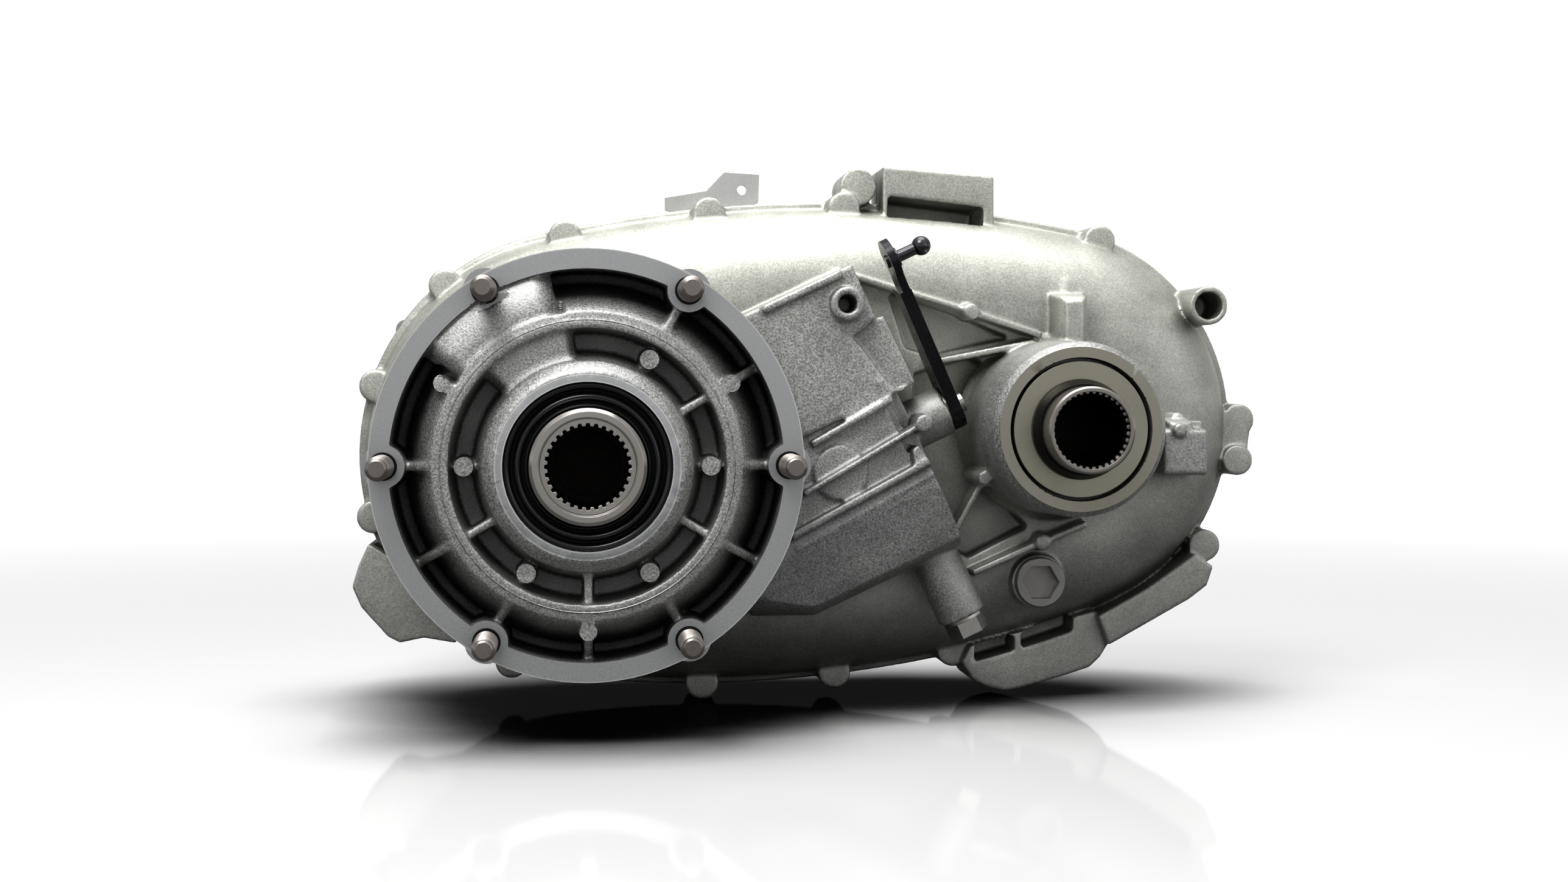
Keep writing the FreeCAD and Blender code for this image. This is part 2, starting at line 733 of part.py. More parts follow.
def shift_block():
    """Stepped housing of the shift mechanism, with its ledges, bosses and rolled lower edge."""
    place = tilted()
    back = "dome_front + 8"
    pieces = [
        padded("block_upper", rectangle("block_left", "block_right", "-block_step", "block_top"),
               "block_front", back, place),
        padded("block_side", rectangle("block_right - 8", "block_right + 4.5", "-block_step", "2"),
               "block_front + block_recess", back, place),
        padded("block_middle", rectangle("block_left", "block_middle_right", "-block_lower_step",
                                         "1 - block_step"),
               "block_front + 3", back, place),
        padded("block_shoulder", rectangle("block_right - 20", "block_middle_right + 3.5",
                                           "-block_lower_step",
               "1 - block_step"), "block_front + 9", back, place),
        padded("block_root", rectangle("block_right - 20", "block_lower_right + 2", "-block_lower_step",
               "1 - block_step"), "block_front + 15", back, place),
    ]
    near = "block_front + 2"
    lower = new_body("block_lower", place)
    sketch = new_sketch(lower, "XZ_Plane", near)
    draw_polygon(sketch, [
        ("block_lower_left", "12 - block_bottom"), ("block_corner", "-block_bottom"),
        ("block_lower_right", "-block_bottom"), ("block_lower_right", "1 - block_lower_step"),
        ("block_lower_left", "1 - block_lower_step"),
    ])
    pad = lower.newObject("PartDesign::Pad", "pad")
    pad.Profile = sketch
    bind(pad, "Length", "(%s) - (%s)" % (back, near))
    pad.Reversed = True
    doc.recompute()
    half_down = -size("block_bottom") / 2 - size("block_lower_step") / 2
    low_edges = [name for name in edges_at(pad.Shape, "Y", size(near))
                 if pad.Shape.getElement(name).CenterOfMass.z < half_down
                 and pad.Shape.getElement(name).CenterOfMass.x < size("block_lower_right") - 1
                 and pad.Shape.getElement(name).CenterOfMass.x > size("block_lower_left") + 1]
    round_edges(lower, pad, low_edges, "block_round")
    pieces.append(lower)
    ledges = (
        ("rim", rectangle("97", "block_right - 6", "block_top - 3.5", "block_top"), 3.0),
        ("ledge_upper", [("91.5", "-37"), ("132.2", "-34"), ("132.2", "-31"), ("91.5", "-34")], 1.5),
        ("upper_hook", rectangle("128.6", "132.2", "-32", "-23"), 0.5),
        ("ledge_thin", [("79", "-54.9"), ("block_right - 2", "-49.3"), ("block_right - 2", "-46.9"),
                        ("79", "-52.5")], 3.0),
        ("ledge_lower", [("block_left", "-70"), ("block_lower_right", "-66"),
                         ("block_lower_right", "-62.6"),
                         ("block_left", "-66.6")], 1.5),
        ("lower_hook", [("128.2", "-64"), ("130.5", "-56.4"), ("134.1", "-55.6"),
                        ("block_lower_right", "-64")], 0.5),
        ("ledge_second", [("block_left", "-75.2"), ("block_lower_right", "-71.2"),
                          ("block_lower_right", "-69.8"),
                          ("block_left", "-73.8")], -1.2),
    )
    for label, corners, proud in ledges:
        pieces.append(padded(label, corners, "block_front - (%s)" % proud, "block_front + 12", place))
    bars = (
        ("thin_ledge_pad", "3.9", "block_right - 1", "-shift_shaft_height + 0.9", "block_front - 4", "22"),
        ("round_pad", "12", "98", "-shift_shaft_height - 3.4", "block_front + 1.2", "8"),
        ("tapped_boss", "tapped_boss_radius", "131.4", "13.7", "block_front - 6", "12"),
    )
    for label, radius, along, height, depth, length in bars:
        start = VECTOR(size(along), size(depth), size(height))
        pieces.append(cylinder(label, radius, length, start, ALONG_Y, place))
    shaft_start = VECTOR(120, size("shift_shaft_depth"), size("shaft_z"))
    pieces.append(cylinder("shaft_boss", "shaft_boss_radius", "shaft_boss_end - 120", shaft_start,
                           VECTOR(1, 0, 0), place))
    detent_start = VECTOR(size("detent_along"), size("shift_shaft_depth"), -size("detent_boss_end"))
    pieces.append(cylinder("detent_boss", "detent_boss_radius", "detent_boss_end - block_lower_step - 4",
                           detent_start, VECTOR(0, 0, 1), place))
    return pieces


def output_details():
    """Boss of the front output with the ribs, pads and gussets that tie it to the dome."""
    centre = front_axis()
    boss = revolved("output_boss", [
        ("10", "output_face"), ("output_face_radius", "output_face"),
        ("output_boss_radius", "output_face + 4"),
        ("output_boss_radius + 1", "dome_front - 14"), ("output_boss_foot", "dome_front - 4"),
        ("output_boss_foot + 4", "dome_front + 2"), ("10", "dome_front + 6"),
    ], centre)
    back = "dome_front + 8"
    ribs = (
        ((122, 82.2), (174.8, 66.4)), ((174.8, 66.4), (208, 55.7)), ((158, 43.3), (204.5, 52.3)),
        ((181.5, -9.6), (168, -34)), ((181.5, -9.6), (190, 4)), ((176, -53.5), (208.7, -39.2)),
        ((208.7, -39.2), (229.2, -31)),
    )
    pieces = [boss]
    for start, end in ribs:
        pieces.append(wall_between("dome_rib", start, end, "rib_width", "dome_front - 10", back))
    for x, z, radius in ((174.8, 66.4, "3.8"), (181.5, -9.6, "3.8"), (208.7, -39.2, "3.8")):
        pieces.append(cylinder("dome_pad", radius, "20", VECTOR(x, size("dome_front") - 12, z)))
    pieces.append(revolved("spout", [("0", "0"), ("4.8", "0"), ("4.8", "20"), ("7.8", "27"), ("7.8", "46"),
                                     ("0", "46")],
                           FreeCAD.Placement(VECTOR(221.5, size("dome_front") - 6, 36),
                                             FreeCAD.Rotation(ALONG_Y, VECTOR(0, 0.36, 1)))))
    pieces.append(padded("box_boss", rectangle("258", "280.5", "-8", "16.5"), "dome_front - 20", back))
    pieces.append(cylinder("box_pad", "3.4", "20", VECTOR(268.5, size("dome_front") - 22, 17)))
    pieces.append(cylinder("plug_boss", "plug_head_radius + 1", "14",
                           VECTOR(208, size("dome_front") - 4, -58)))
    return pieces


def flange_details(near, far):
    """Bolt bosses and lugs of the split flange, for either half."""
    pieces = []
    for arc, angle, beyond in CASE_BOLTS:
        start = at_depth(outline_point(arc, angle, beyond), near)
        pieces.append(cylinder("bolt_boss", "bolt_boss_radius", "(%s) - (%s)" % (far, near), start))
    return pieces


def case_bolt_bars(label, radius, near, far, places=CASE_BOLTS):
    bars = []
    for arc, angle, beyond in places:
        start = at_depth(outline_point(arc, angle, beyond), near)
        bars.append(cylinder(label, radius, "(%s) - (%s)" % (far, near), start))
    return bars


def front_case():
    dome = belly("dome", "flange_lip", "dome_front", "split_face", "dome_front", "dome_round")
    recesses = [
        padded("deep_recess", [("150", "38"), ("176", "46"), ("192", "40"), ("178", "10"), ("186", "-14"),
                               ("204", "-33"), ("176", "-47"), ("160", "-38"), ("148", "-6")],
               "dome_front - 1", "dome_front + 13"),
        padded("rib_recess", [("138", "76"), ("172", "64.5"), ("196", "54.5"), ("158", "46.5"),
                              ("146", "50")],
               "dome_front - 1", "dome_front + 9"),
    ]
    dome = carved("dome_with_recesses", dome, recesses)
    flange_front = "split_face - flange_thickness"
    boss_front = "split_face - bolt_boss_front"
    pieces = [dome, belly("front_flange", "0", flange_front, "split_face"), bell()]
    pieces += ring_details() + shift_block() + output_details()
    pieces += flange_details(boss_front, "split_face")
    pieces += [
        padded("window_lug", WINDOW_LUG, boss_front, "split_face"),
        padded("foot_lug", FOOT_LUG, "split_face - 28", "split_face"),
        padded("corner_lug", CORNER_LUG, "split_face - 34", "split_face"),
        padded("side_lug", SIDE_LUG, "split_face - 26", "split_face"),
        cylinder("upper_boss", "8.6", "20", VECTOR(127.5, size("split_face") - 20, 126)),
        cylinder("second_lobe", "7.2", "26", VECTOR(309.5, size("split_face") - 26, -3)),
        padded("lobe_web", [("300", "-4"), ("315", "-3"), ("317", "16"), ("300", "18")], "split_face - 22",
               "split_face"),
        cylinder("hose_boss", "hose_boss_radius", "split_face - hose_boss_front",
                 VECTOR(290, size("hose_boss_front"), 70)),
    ]
    place = tilted()
    shaft_start = VECTOR(82, size("shift_shaft_depth"), size("shaft_z"))
    detent_start = VECTOR(size("detent_along"), size("shift_shaft_depth"), -size("detent_boss_end") - 1)
    tapped_start = VECTOR(131.4, size("block_front") - 7, 13.7)
    hollows = [
        belly("front_cavity", "flange_lip + case_wall", "cavity_front", "split_face + 1", "cavity_front",
              "cavity_bevel", bevel_edges),
        cylinder("drum_cavity", "bell_inner_radius", "cavity_front + 2 - seat_back",
                 VECTOR(0, size("seat_back"), 0)),
        revolved("output_bore", [
            ("0", "output_face - 1"), ("output_seal_bore", "output_face - 1"),
            ("output_seal_bore", "output_face + 17"),
            ("output_seal_bore - 4", "output_face + 17"), ("output_seal_bore - 4", "output_bearing_front"),
            ("output_bearing_outer", "output_bearing_front"), ("output_bearing_outer", "cavity_front + 2"),
            ("0", "cavity_front + 2"),
        ], front_axis()),
        padded("shift_cavity", rectangle("rail_along - 12.5", "sector_back + 1.2", "shaft_z - 36",
                                         "shaft_z + 15"),
               "block_front + 6", "cavity_front + 2", place),
        padded("side_recess", [("127.7", "-0.8"), ("150", "4.6"), ("150", "-30.5"), ("136.3", "-30.5"),
                               ("133.1", "-22.6"), ("129.6", "-6.2")], "block_front - 1",
                               "block_front + block_recess", place),
        padded("fork_window", rectangle(*RAIL_AND_FORKS), "seat_back + 27", "cavity_front + 2"),
        cylinder("shaft_bore", "shift_shaft_radius + running_gap", "shaft_boss_end - 80", shaft_start,
                 VECTOR(1, 0, 0), place),
        cylinder("rail_seat", "rail_radius + fit_gap", "6", at_depth(rail_point(), "rail_front")),
        cylinder("detent_bore", "detent_bore + running_gap", "detent_boss_end + 1 - (sector_rim)",
                 detent_start,
                 VECTOR(0, 0, 1), place),
        cylinder("tapped_hole", "tapped_hole_radius", "22", tapped_start, ALONG_Y, place),
        cylinder("hose_bore", "hose_bore_radius", "28", VECTOR(290, size("hose_boss_front") - 1, 70)),
        cylinder("plug_hole", "plug_radius + fit_gap", "28", VECTOR(208, size("dome_front") - 5, -58)),
        padded("window", WINDOW, "split_face - bolt_boss_front - 1", "split_face + 1"),
        padded("foot_slot", [("182", "-97.5"), ("201", "-92.5"), ("201", "-85"), ("182", "-90")],
               "split_face - 29", "split_face - 10"),
        padded("second_slot", [("204.5", "-91.5"), ("229", "-83.5"), ("229", "-76"), ("204.5", "-84")],
               "split_face - 29", "split_face - 10"),
    ]
    for angle in RING_ANGLES:
        start = polar(size("stud_circle_radius"), angle) - VECTOR(0, 1, 0)
        hollows.append(cylinder("stud_hole", "stud_root_radius + fit_gap", "stud_depth + 1", start))
    hollows += case_bolt_bars("bolt_hole", "bolt_radius + fit_gap", "split_face - bolt_grip",
                              "split_face + 1")
    hollows += case_bolt_bars("dowel_hole", "dowel_radius + fit_gap", "split_face - dowel_length / 2",
                              "split_face + 1", DOWELS)
    part(carved("front_case", fused("front_castings", pieces), hollows))


# ---------------------------------------------------------------- rear case and tail

REAR_RIB_ANGLES = (52, 96, 140, 184, 228, 272)
DRAIN = (150.0, -66.0)
REAR_BOSS_RIBS = (-62, -22, 18, 58, 98)


def rear_case():
    boss_back = "split_face + bolt_boss_rear"
    centre = front_axis()
    pieces = [
        belly("rear_flange", "0", "split_face", "split_face + flange_thickness - 1"),
        belly("rear_dome", "rear_lip", "split_face", "rear_face", "rear_face", "rear_round"),
        revolved("main_boss", [
            ("5", "rear_face - 4"), ("tail_flange_radius + 12", "rear_face - 4"),
            ("tail_flange_radius + 3", "rear_face + 4"), ("tail_flange_radius + 1", "tail_face"),
            ("5", "tail_face"),
        ]),
        revolved("output_cap", [
            ("0", "rear_face - 4"), ("38", "rear_face - 4"), ("31", "rear_face + 3"),
            ("28", "rear_face + 9"),
            ("0", "rear_face + 9"),
        ], centre),
        padded("window_lug_back", WINDOW_LUG, "split_face", "split_face + 20"),
        padded("foot_lug_back", FOOT_LUG, "split_face", "split_face + 14"),
        padded("corner_lug_back", CORNER_LUG, "split_face", "split_face + 12"),
        padded("side_lug_back", SIDE_LUG, "split_face", "split_face + 14"),
        cylinder("second_lobe_back", "7.2", "12", VECTOR(309.5, size("split_face"), -3)),
        cylinder("upper_boss_back", "8.6", "14", VECTOR(127.5, size("split_face"), 126)),
        cylinder("drain_boss", "plug_head_radius + 2", "10",
                 VECTOR(DRAIN[0], size("rear_face") - 4, DRAIN[1])),
    ]
    for angle in REAR_RIB_ANGLES:
        pieces.append(radial_rib("rear_rib", "tail_flange_radius",
                                 "input_end_radius - rear_lip - rear_round + 5", "rib_width + 1",
                                 "rear_face - 3", "rear_face + 5", angle))
    for angle in REAR_BOSS_RIBS:
        pieces.append(radial_rib("cap_rib", "20", "output_end_radius - rear_lip - rear_round + 5",
                                 "rib_width + 1",
                                 "rear_face - 3", "rear_face + 4", angle, centre))
    pieces.append(wall_between("cross_rib", (48, 14), (188, 24), "rib_width + 1", "rear_face - 3",
                               "rear_face + 5"))
    pieces.append(wall_between("cross_rib_low", (48, -22), (192, -8), "rib_width + 1", "rear_face - 3",
                               "rear_face + 5"))
    pieces += flange_details("split_face", boss_back)
    cavity = belly("rear_cavity", "rear_lip + case_wall", "split_face - 1", "rear_face - case_wall",
                   "rear_face - case_wall", "rear_round / 2 - 2", bevel_edges)
    shell = carved("rear_shell", fused("rear_castings", pieces), [cavity])
    inner = [
        shell,
        cylinder("rail_boss", "rail_radius + 5", "rear_face - rail_back + 6",
                 at_depth(rail_point(), "rail_back - 8")),
        cylinder("needle_boss", "rear_journal_radius + 9", "20",
                 centre.Base + VECTOR(0, size("rear_face") - 22, 0)),
    ]
    hollows = [
        cylinder("main_bearing_bore", "main_bearing_outer + fit_gap", "tail_face + 1 - main_bearing_front",
                 VECTOR(0, size("main_bearing_front"), 0)),
        cylinder("main_bore", "main_bearing_outer - 6", "30",
                 VECTOR(0, size("main_bearing_front") - 20, 0)),
        cylinder("needle_bore", "rear_journal_radius + needle_shell + fit_gap", "26",
                 centre.Base + VECTOR(0, size("rear_face") - 23, 0)),
        cylinder("rail_seat_back", "rail_radius + fit_gap", "10", at_depth(rail_point(), "rail_back - 9")),
        padded("window_back", WINDOW, "split_face - 1", "split_face + 12"),
        padded("bracket_seat", rectangle("43", "73", "103.8", "126"),
               "split_face + bolt_boss_rear - bracket_thickness",
               "split_face + bolt_boss_rear + 1"),
        cylinder("drain_hole", "plug_radius + fit_gap", "20",
                 VECTOR(DRAIN[0], size("rear_face") - 10, DRAIN[1])),
    ]
    for index in range(int(size("tail_bolt_count"))):
        start = at_depth(polar(size("tail_bolt_circle"), 60 * index), "tail_face - 14")
        hollows.append(cylinder("tail_tapping", "tail_bolt_radius + fit_gap", "15", start))
    hollows += case_bolt_bars("clear_hole", "bolt_radius + 0.3", "split_face - 1",
                              "split_face + bolt_boss_rear + 1")
    hollows += case_bolt_bars("dowel_seat", "dowel_radius + fit_gap", "split_face - 1",
                              "split_face + dowel_length / 2", DOWELS)
    part(carved("rear_case", fused("rear_with_bosses", inner), hollows))


def tail_housing():
    seat = "tail_end - bushing_length"
    inner = "tail_tube_radius - tail_wall"
    neck_inner = "tail_neck_radius - tail_wall"
    horn = revolved("tail_horn", [
        (neck_inner, "tail_face"), ("tail_flange_radius", "tail_face"),
        ("tail_flange_radius", "tail_face + tail_flange_thickness"),
        ("tail_neck_radius + 3", "tail_face + tail_flange_thickness"),
        ("tail_neck_radius", "tail_neck_back"),
        ("tail_tube_radius", "tail_neck_back + 14"), ("tail_tube_radius", "tail_end"),
        ("bushing_radius + 3 + fit_gap", "tail_end"), ("bushing_radius + 3 + fit_gap", seat), (inner, seat),
        (inner, "tail_neck_back + 12"), (neck_inner, "tail_neck_back"),
    ])
    pieces = [horn, cylinder("sensor_boss", "sensor_radius + 4", "tone_radius + 20.8 - 30",
                             VECTOR(0, size("sensor_depth"), 30),
                             VECTOR(0, 0, 1))]
    for angle in (45, 135, 225, 315):
        pieces.append(radial_rib("tail_rib", "tail_tube_radius - 2", "tail_neck_radius + 5",
                                 "rib_width + 1",
                                 "tail_face + 4", "tail_neck_back + 30", angle))
    hollows = [
        cylinder("sensor_hole", "sensor_radius + fit_gap", "40", VECTOR(0, size("sensor_depth"), 20),
                 VECTOR(0, 0, 1)),
        cylinder("horn_bore", inner, "tail_end - tail_neck_back", VECTOR(0, size("tail_neck_back"), 0)),
        cylinder("neck_bore", neck_inner, "tail_neck_back - tail_face + 1",
                 VECTOR(0, size("tail_face") - 1, 0)),
    ]
    for index in range(int(size("tail_bolt_count"))):
        start = at_depth(polar(size("tail_bolt_circle"), 60 * index), "tail_face - 1")
        hollows.append(cylinder("tail_hole", "tail_bolt_radius + 0.3", "tail_flange_thickness + 2", start))
    part(carved("tail_housing", fused("tail_castings", pieces), hollows))
    part(tube("tail_bushing", "bushing_radius", "bushing_radius + 3", seat, "tail_end"))
    part(revolved("tail_seal", [
        ("bushing_radius + 0.2", "tail_end"), ("tail_tube_radius - 1", "tail_end"),
        ("tail_tube_radius - 1", "tail_end + 4"), ("bushing_radius + 4", "tail_end + tail_seal_length"),
        ("bushing_radius + 0.2", "tail_end + tail_seal_length"),
    ]))


# ---------------------------------------------------------------- seals, bearings, plugs and fasteners

def seals():
    part(revolved("input_seal", [
        ("tube_radius + running_gap", "seal_front + 1"), ("tube_radius + 1.2", "seal_front - 0.6"),
        ("27", "seal_front - 0.6"), ("27.6", "seal_front + 4"), ("30.2", "seal_front + 4"),
        ("30.8", "seal_front"), ("seal_radius - fit_gap", "seal_front"),
        ("seal_radius - fit_gap", "seal_back"),
        ("tube_radius + 3", "seal_back"), ("tube_radius + running_gap", "seal_back - 4"),
    ]))
    centre = front_axis()
    part(revolved("output_seal", [
        ("output_tube_radius + 1 + running_gap", "output_face + 7"),
        ("output_seal_bore - fit_gap", "output_face + 7"),
        ("output_seal_bore - fit_gap", "output_face + 17"), ("output_tube_radius + 4", "output_face + 17"),
        ("output_tube_radius + 1 + running_gap", "output_face + 13"),
    ], centre))
    part(revolved("dust_shield", [
        ("lip_radius + fit_gap", "output_face + 1"), ("shield_radius", "output_face + 1"),
        ("shield_radius", "output_face + 1 + shield_thickness"),
        ("lip_radius + fit_gap", "output_face + 1 + shield_thickness"),
    ], centre))
    part(revolved("shield_lip", [
        ("output_tube_radius + fit_gap", "output_face - 6"), ("output_tube_radius + 1", "output_face - 6"),
        ("lip_radius", "output_face - 1"), ("lip_radius", "output_face + 5"),
        ("output_tube_radius + fit_gap", "output_face + 5"),
    ], centre))


def bearing(label, inner, outer, near, rollers, place=None):
    """A roller bearing: outer ring, rollers and inner ring, each a node."""
    far = "(%s) + bearing_width" % near
    outer_track = "(%s) - race_thickness" % outer
    inner_track = "(%s) + race_thickness" % inner
    part(tube(label + "_bearing_outer", outer_track, "(%s) - fit_gap" % outer, near, far, place))
    part(tube(label + "_bearing_inner", "(%s) + fit_gap" % inner, inner_track, near, far, place))
    radius = "((%s) - (%s)) / 2 - running_gap" % (outer_track, inner_track)
    middle = size("((%s) + (%s)) / 2" % (outer_track, inner_track))
    bars = []
    for index in range(rollers):
        start = polar(middle, 360.0 * index / rollers) + VECTOR(0, size(near) + 2, 0)
        bars.append(cylinder("roller", radius, "bearing_width - 4", start, ALONG_Y, place))
    part(grouped(label + "_bearing_rollers", bars))


def bearings():
    centre = front_axis()
    bearing("input", "input_bearing_inner", "input_bearing_outer", "input_bearing_front", 9)
    bearing("front", "journal_radius", "output_bearing_outer", "output_bearing_front", 9, centre)
    bearing("main", "journal_radius", "main_bearing_outer", "main_bearing_front", 9)
    part(tube("bearing_snap_ring", "input_bearing_outer - 3", "input_bearing_outer - fit_gap",
              "bearing_back", "bearing_back + 2"))
    shell = "rear_journal_radius + needle_shell"
    part(tube("needle_bearing", "rear_journal_radius + running_gap", shell, "rear_face - 18",
              "rear_face - 2", centre))


def studs_and_bolts():
    studs = []
    for angle in RING_ANGLES:
        place = FreeCAD.Placement(polar(size("stud_circle_radius"), angle), FreeCAD.Rotation())
        studs.append(revolved("stud", [
            ("0", "-stud_reach"), ("stud_radius - 1.4", "-stud_reach"),
            ("stud_radius - 1", "1 - stud_reach"),
            ("stud_radius - 1", "4 - stud_reach"), ("stud_radius", "5 - stud_reach"),
            ("stud_radius", "-stud_relief"), ("stud_root_radius", "-stud_relief"),
            ("stud_root_radius", "stud_depth - 1"), ("0", "stud_depth - 1"),
        ], place))
    part(grouped("flange_studs", studs))
    bolts = []
    for arc, angle, beyond in CASE_BOLTS:
        place = FreeCAD.Placement(outline_point(arc, angle, beyond), FreeCAD.Rotation())
        bolts.append(bolt("split_face - bolt_grip + 2", "split_face + bolt_boss_rear", "bolt_radius",
                          "bolt_head_radius", "bolt_head_height", place))
    part(grouped("case_bolts", bolts))
    bolts = []
    for index in range(int(size("tail_bolt_count"))):
        place = FreeCAD.Placement(polar(size("tail_bolt_circle"), 60 * index), FreeCAD.Rotation())
        bolts.append(bolt("tail_face - 12", "tail_face + tail_flange_thickness", "tail_bolt_radius",
                          "bolt_head_radius - 0.6", "bolt_head_height - 1", place))
    part(grouped("tail_bolts", bolts))
    pins = case_bolt_bars("dowel", "dowel_radius", "split_face - dowel_length / 2 + 0.1",
                          "split_face + dowel_length / 2 - 0.1", DOWELS)
    part(grouped("dowel_pins", pins))


def bolt(tip, seat, shank, head, height, place):
    """A flange-head bolt that enters from behind: shank forward of its seat, hexagon behind it."""
    body = revolved("bolt_shank", [
        ("0", tip), (shank, tip), (shank, seat), ("(%s) + 0.6" % head, seat),
        ("(%s) + 0.6" % head, "(%s) + 1.6" % seat),
        ("0", "(%s) + 1.6" % seat),
    ], place)
    start = place.Base + VECTOR(0, size(seat) + 1, 0)
    bar = hexagon(2 * size(head) * 0.87, start, ALONG_Y, size(height) - 1)
    return fused("bolt", [body, shaped("bolt_hexagon", bar)])


def plugs():
    centre = VECTOR(208, 0, -58)
    front = "dome_front - 4 - plug_head_height"
    head = revolved("fill_plug_blank", [
        ("0", front), ("plug_head_radius - 0.6", front), ("plug_head_radius", "(%s) + 0.8" % front),
        ("plug_head_radius", "dome_front - 4"), ("plug_radius", "dome_front - 4"),
        ("plug_radius", "dome_front + 10"),
        ("0", "dome_front + 10"),
    ], FreeCAD.Placement(centre, FreeCAD.Rotation()))
    socket = hexagon(size("plug_socket_flats"), at_depth(centre, "(%s) - 1" % front), ALONG_Y,
                     size("plug_head_height") + 3)
    part(carved("fill_plug", head, [shaped("fill_socket", socket)]))
    centre = VECTOR(DRAIN[0], 0, DRAIN[1])
    seat = "rear_face + 6"
    shank = revolved("drain_shank", [
        ("0", "(%s) - 12" % seat), ("plug_radius", "(%s) - 12" % seat), ("plug_radius", seat),
        ("plug_head_radius", seat), ("plug_head_radius", "(%s) + 2" % seat), ("0", "(%s) + 2" % seat),
    ], FreeCAD.Placement(centre, FreeCAD.Rotation()))
    head = hexagon(17, at_depth(centre, "(%s) + 1" % seat), ALONG_Y, 8)
    part(fused("drain_plug", [shank, shaped("drain_hexagon", head)]))
    place = tilted()
    end = size("detent_boss_end")
    start = VECTOR(size("detent_along"), size("shift_shaft_depth"), -end)
    shank = cylinder("detent_shank", "detent_bore - 0.1", "detent_plug_depth + 1", start + VECTOR(0, 0, -1),
                     VECTOR(0, 0, 1), place)
    washer = cylinder("detent_washer", "detent_boss_radius - 1.8", "1.5", start + VECTOR(0, 0, -1.5),
                      VECTOR(0, 0, 1), place)
    head = hexagon(size("detent_hex_flats"), start + VECTOR(0, 0, -1), VECTOR(0, 0, -1),
                   size("detent_hex_height") - 1, place)
    part(fused("detent_plug", [shank, washer, shaped("detent_hexagon", head)]))


def small_fittings():
    """Sheet bracket under a case bolt, speed sensor, magnet and the oil pump with its pickup."""
    seat = "split_face + bolt_boss_rear"
    hole_at = outline_point("top", 95.6, 0)
    plate = padded("bracket_plate", [
        ("47", "104.6"), ("66", "104.6"), ("70", "114"), ("83", "121"), ("83.5", "134.5"),
        ("66.5", "135.5"),
        ("58", "126.5"), ("38", "123"), ("38", "117"), ("44", "115"),
    ], "split_face + bolt_boss_rear - bracket_thickness", seat)
    holes = [
        cylinder("bracket_bolt_hole", "bolt_radius + 0.3", "20", at_depth(hole_at, "split_face")),
        cylinder("bracket_hole", "2.3", "20", VECTOR(75, size("split_face"), 127)),
    ]
    part(carved("harness_bracket", plate, holes))
    body = revolved("sensor_body", [
        ("0", "0"), ("sensor_radius", "0"), ("sensor_radius", "20"), ("sensor_radius + 5", "20"),
        ("sensor_radius + 5", "23"), ("sensor_radius - 1", "24"), ("sensor_radius - 1", "40"), ("0", "40"),
    ], FreeCAD.Placement(VECTOR(0, size("sensor_depth"), size("tone_radius") + 0.8),
                         FreeCAD.Rotation(ALONG_Y, VECTOR(0, 0, 1))))
    part(body, "speed_sensor")
    bottom = belly_centres()[1]
    floor = bottom + polar(size("belly_radius - rear_lip - case_wall") - 0.2, -90)
    part(cylinder("magnet", "9", "4", at_depth(floor, "split_face + 18"), VECTOR(0, 0, 1)))
    wall = "rear_face - case_wall"
    part(revolved("pump_housing", [
        ("pump_rotor_radius + running_gap", "pump_front"), ("pump_radius", "pump_front"),
        ("pump_radius", wall),
        ("journal_radius + 2", wall), ("journal_radius + 2", "pump_front + pump_width"),
        ("pump_rotor_radius + running_gap", "pump_front + pump_width"),
    ]))
    middle = size("pump_front") + size("pump_width") / 2
    down = VECTOR(0, 0, -1)
    pipe = cylinder("pickup_pipe", "pickup_radius", "42", VECTOR(0, middle, -size("pump_radius") - 0.05),
                    down)
    screen = box("pickup_screen", "30", "14", "7", (-15, middle - 9.5, -size("pump_radius") - 46))
    part(fused("oil_pickup", [pipe, screen]))


# ---------------------------------------------------------------- input gear and planetary set

def sun_numbers():
    pitch = size("gear_module * sun_teeth / 2")
    return pitch, pitch - 1.25 * size("gear_module"), pitch + 0.88 * size("gear_module")


def tooth_halves(pitch, foot, tip):
    """Half angles, in degrees, of a straight-sided tooth at its foot and tip, with backlash."""
    thick = 0.21 * math.pi * size("gear_module")
    slope = math.tan(math.radians(20))
    at_foot = thick + abs(pitch - foot) * slope
    at_tip = thick - abs(tip - pitch) * slope
    return math.degrees(at_foot / foot), math.degrees(at_tip / tip)


def clutch_wire(grown, depth):
    """Outline of the dog teeth that lock the range hub to the input gear."""
    half = 0.22 * 360.0 / size("clutch_teeth")
    more = math.degrees(grown / size("clutch_root_radius"))
    return toothed_wire(size("clutch_teeth"), size("clutch_root_radius") + grown,
                        size("clutch_tip_radius") + grown, half + more, half * 0.8 + more, 0, depth)


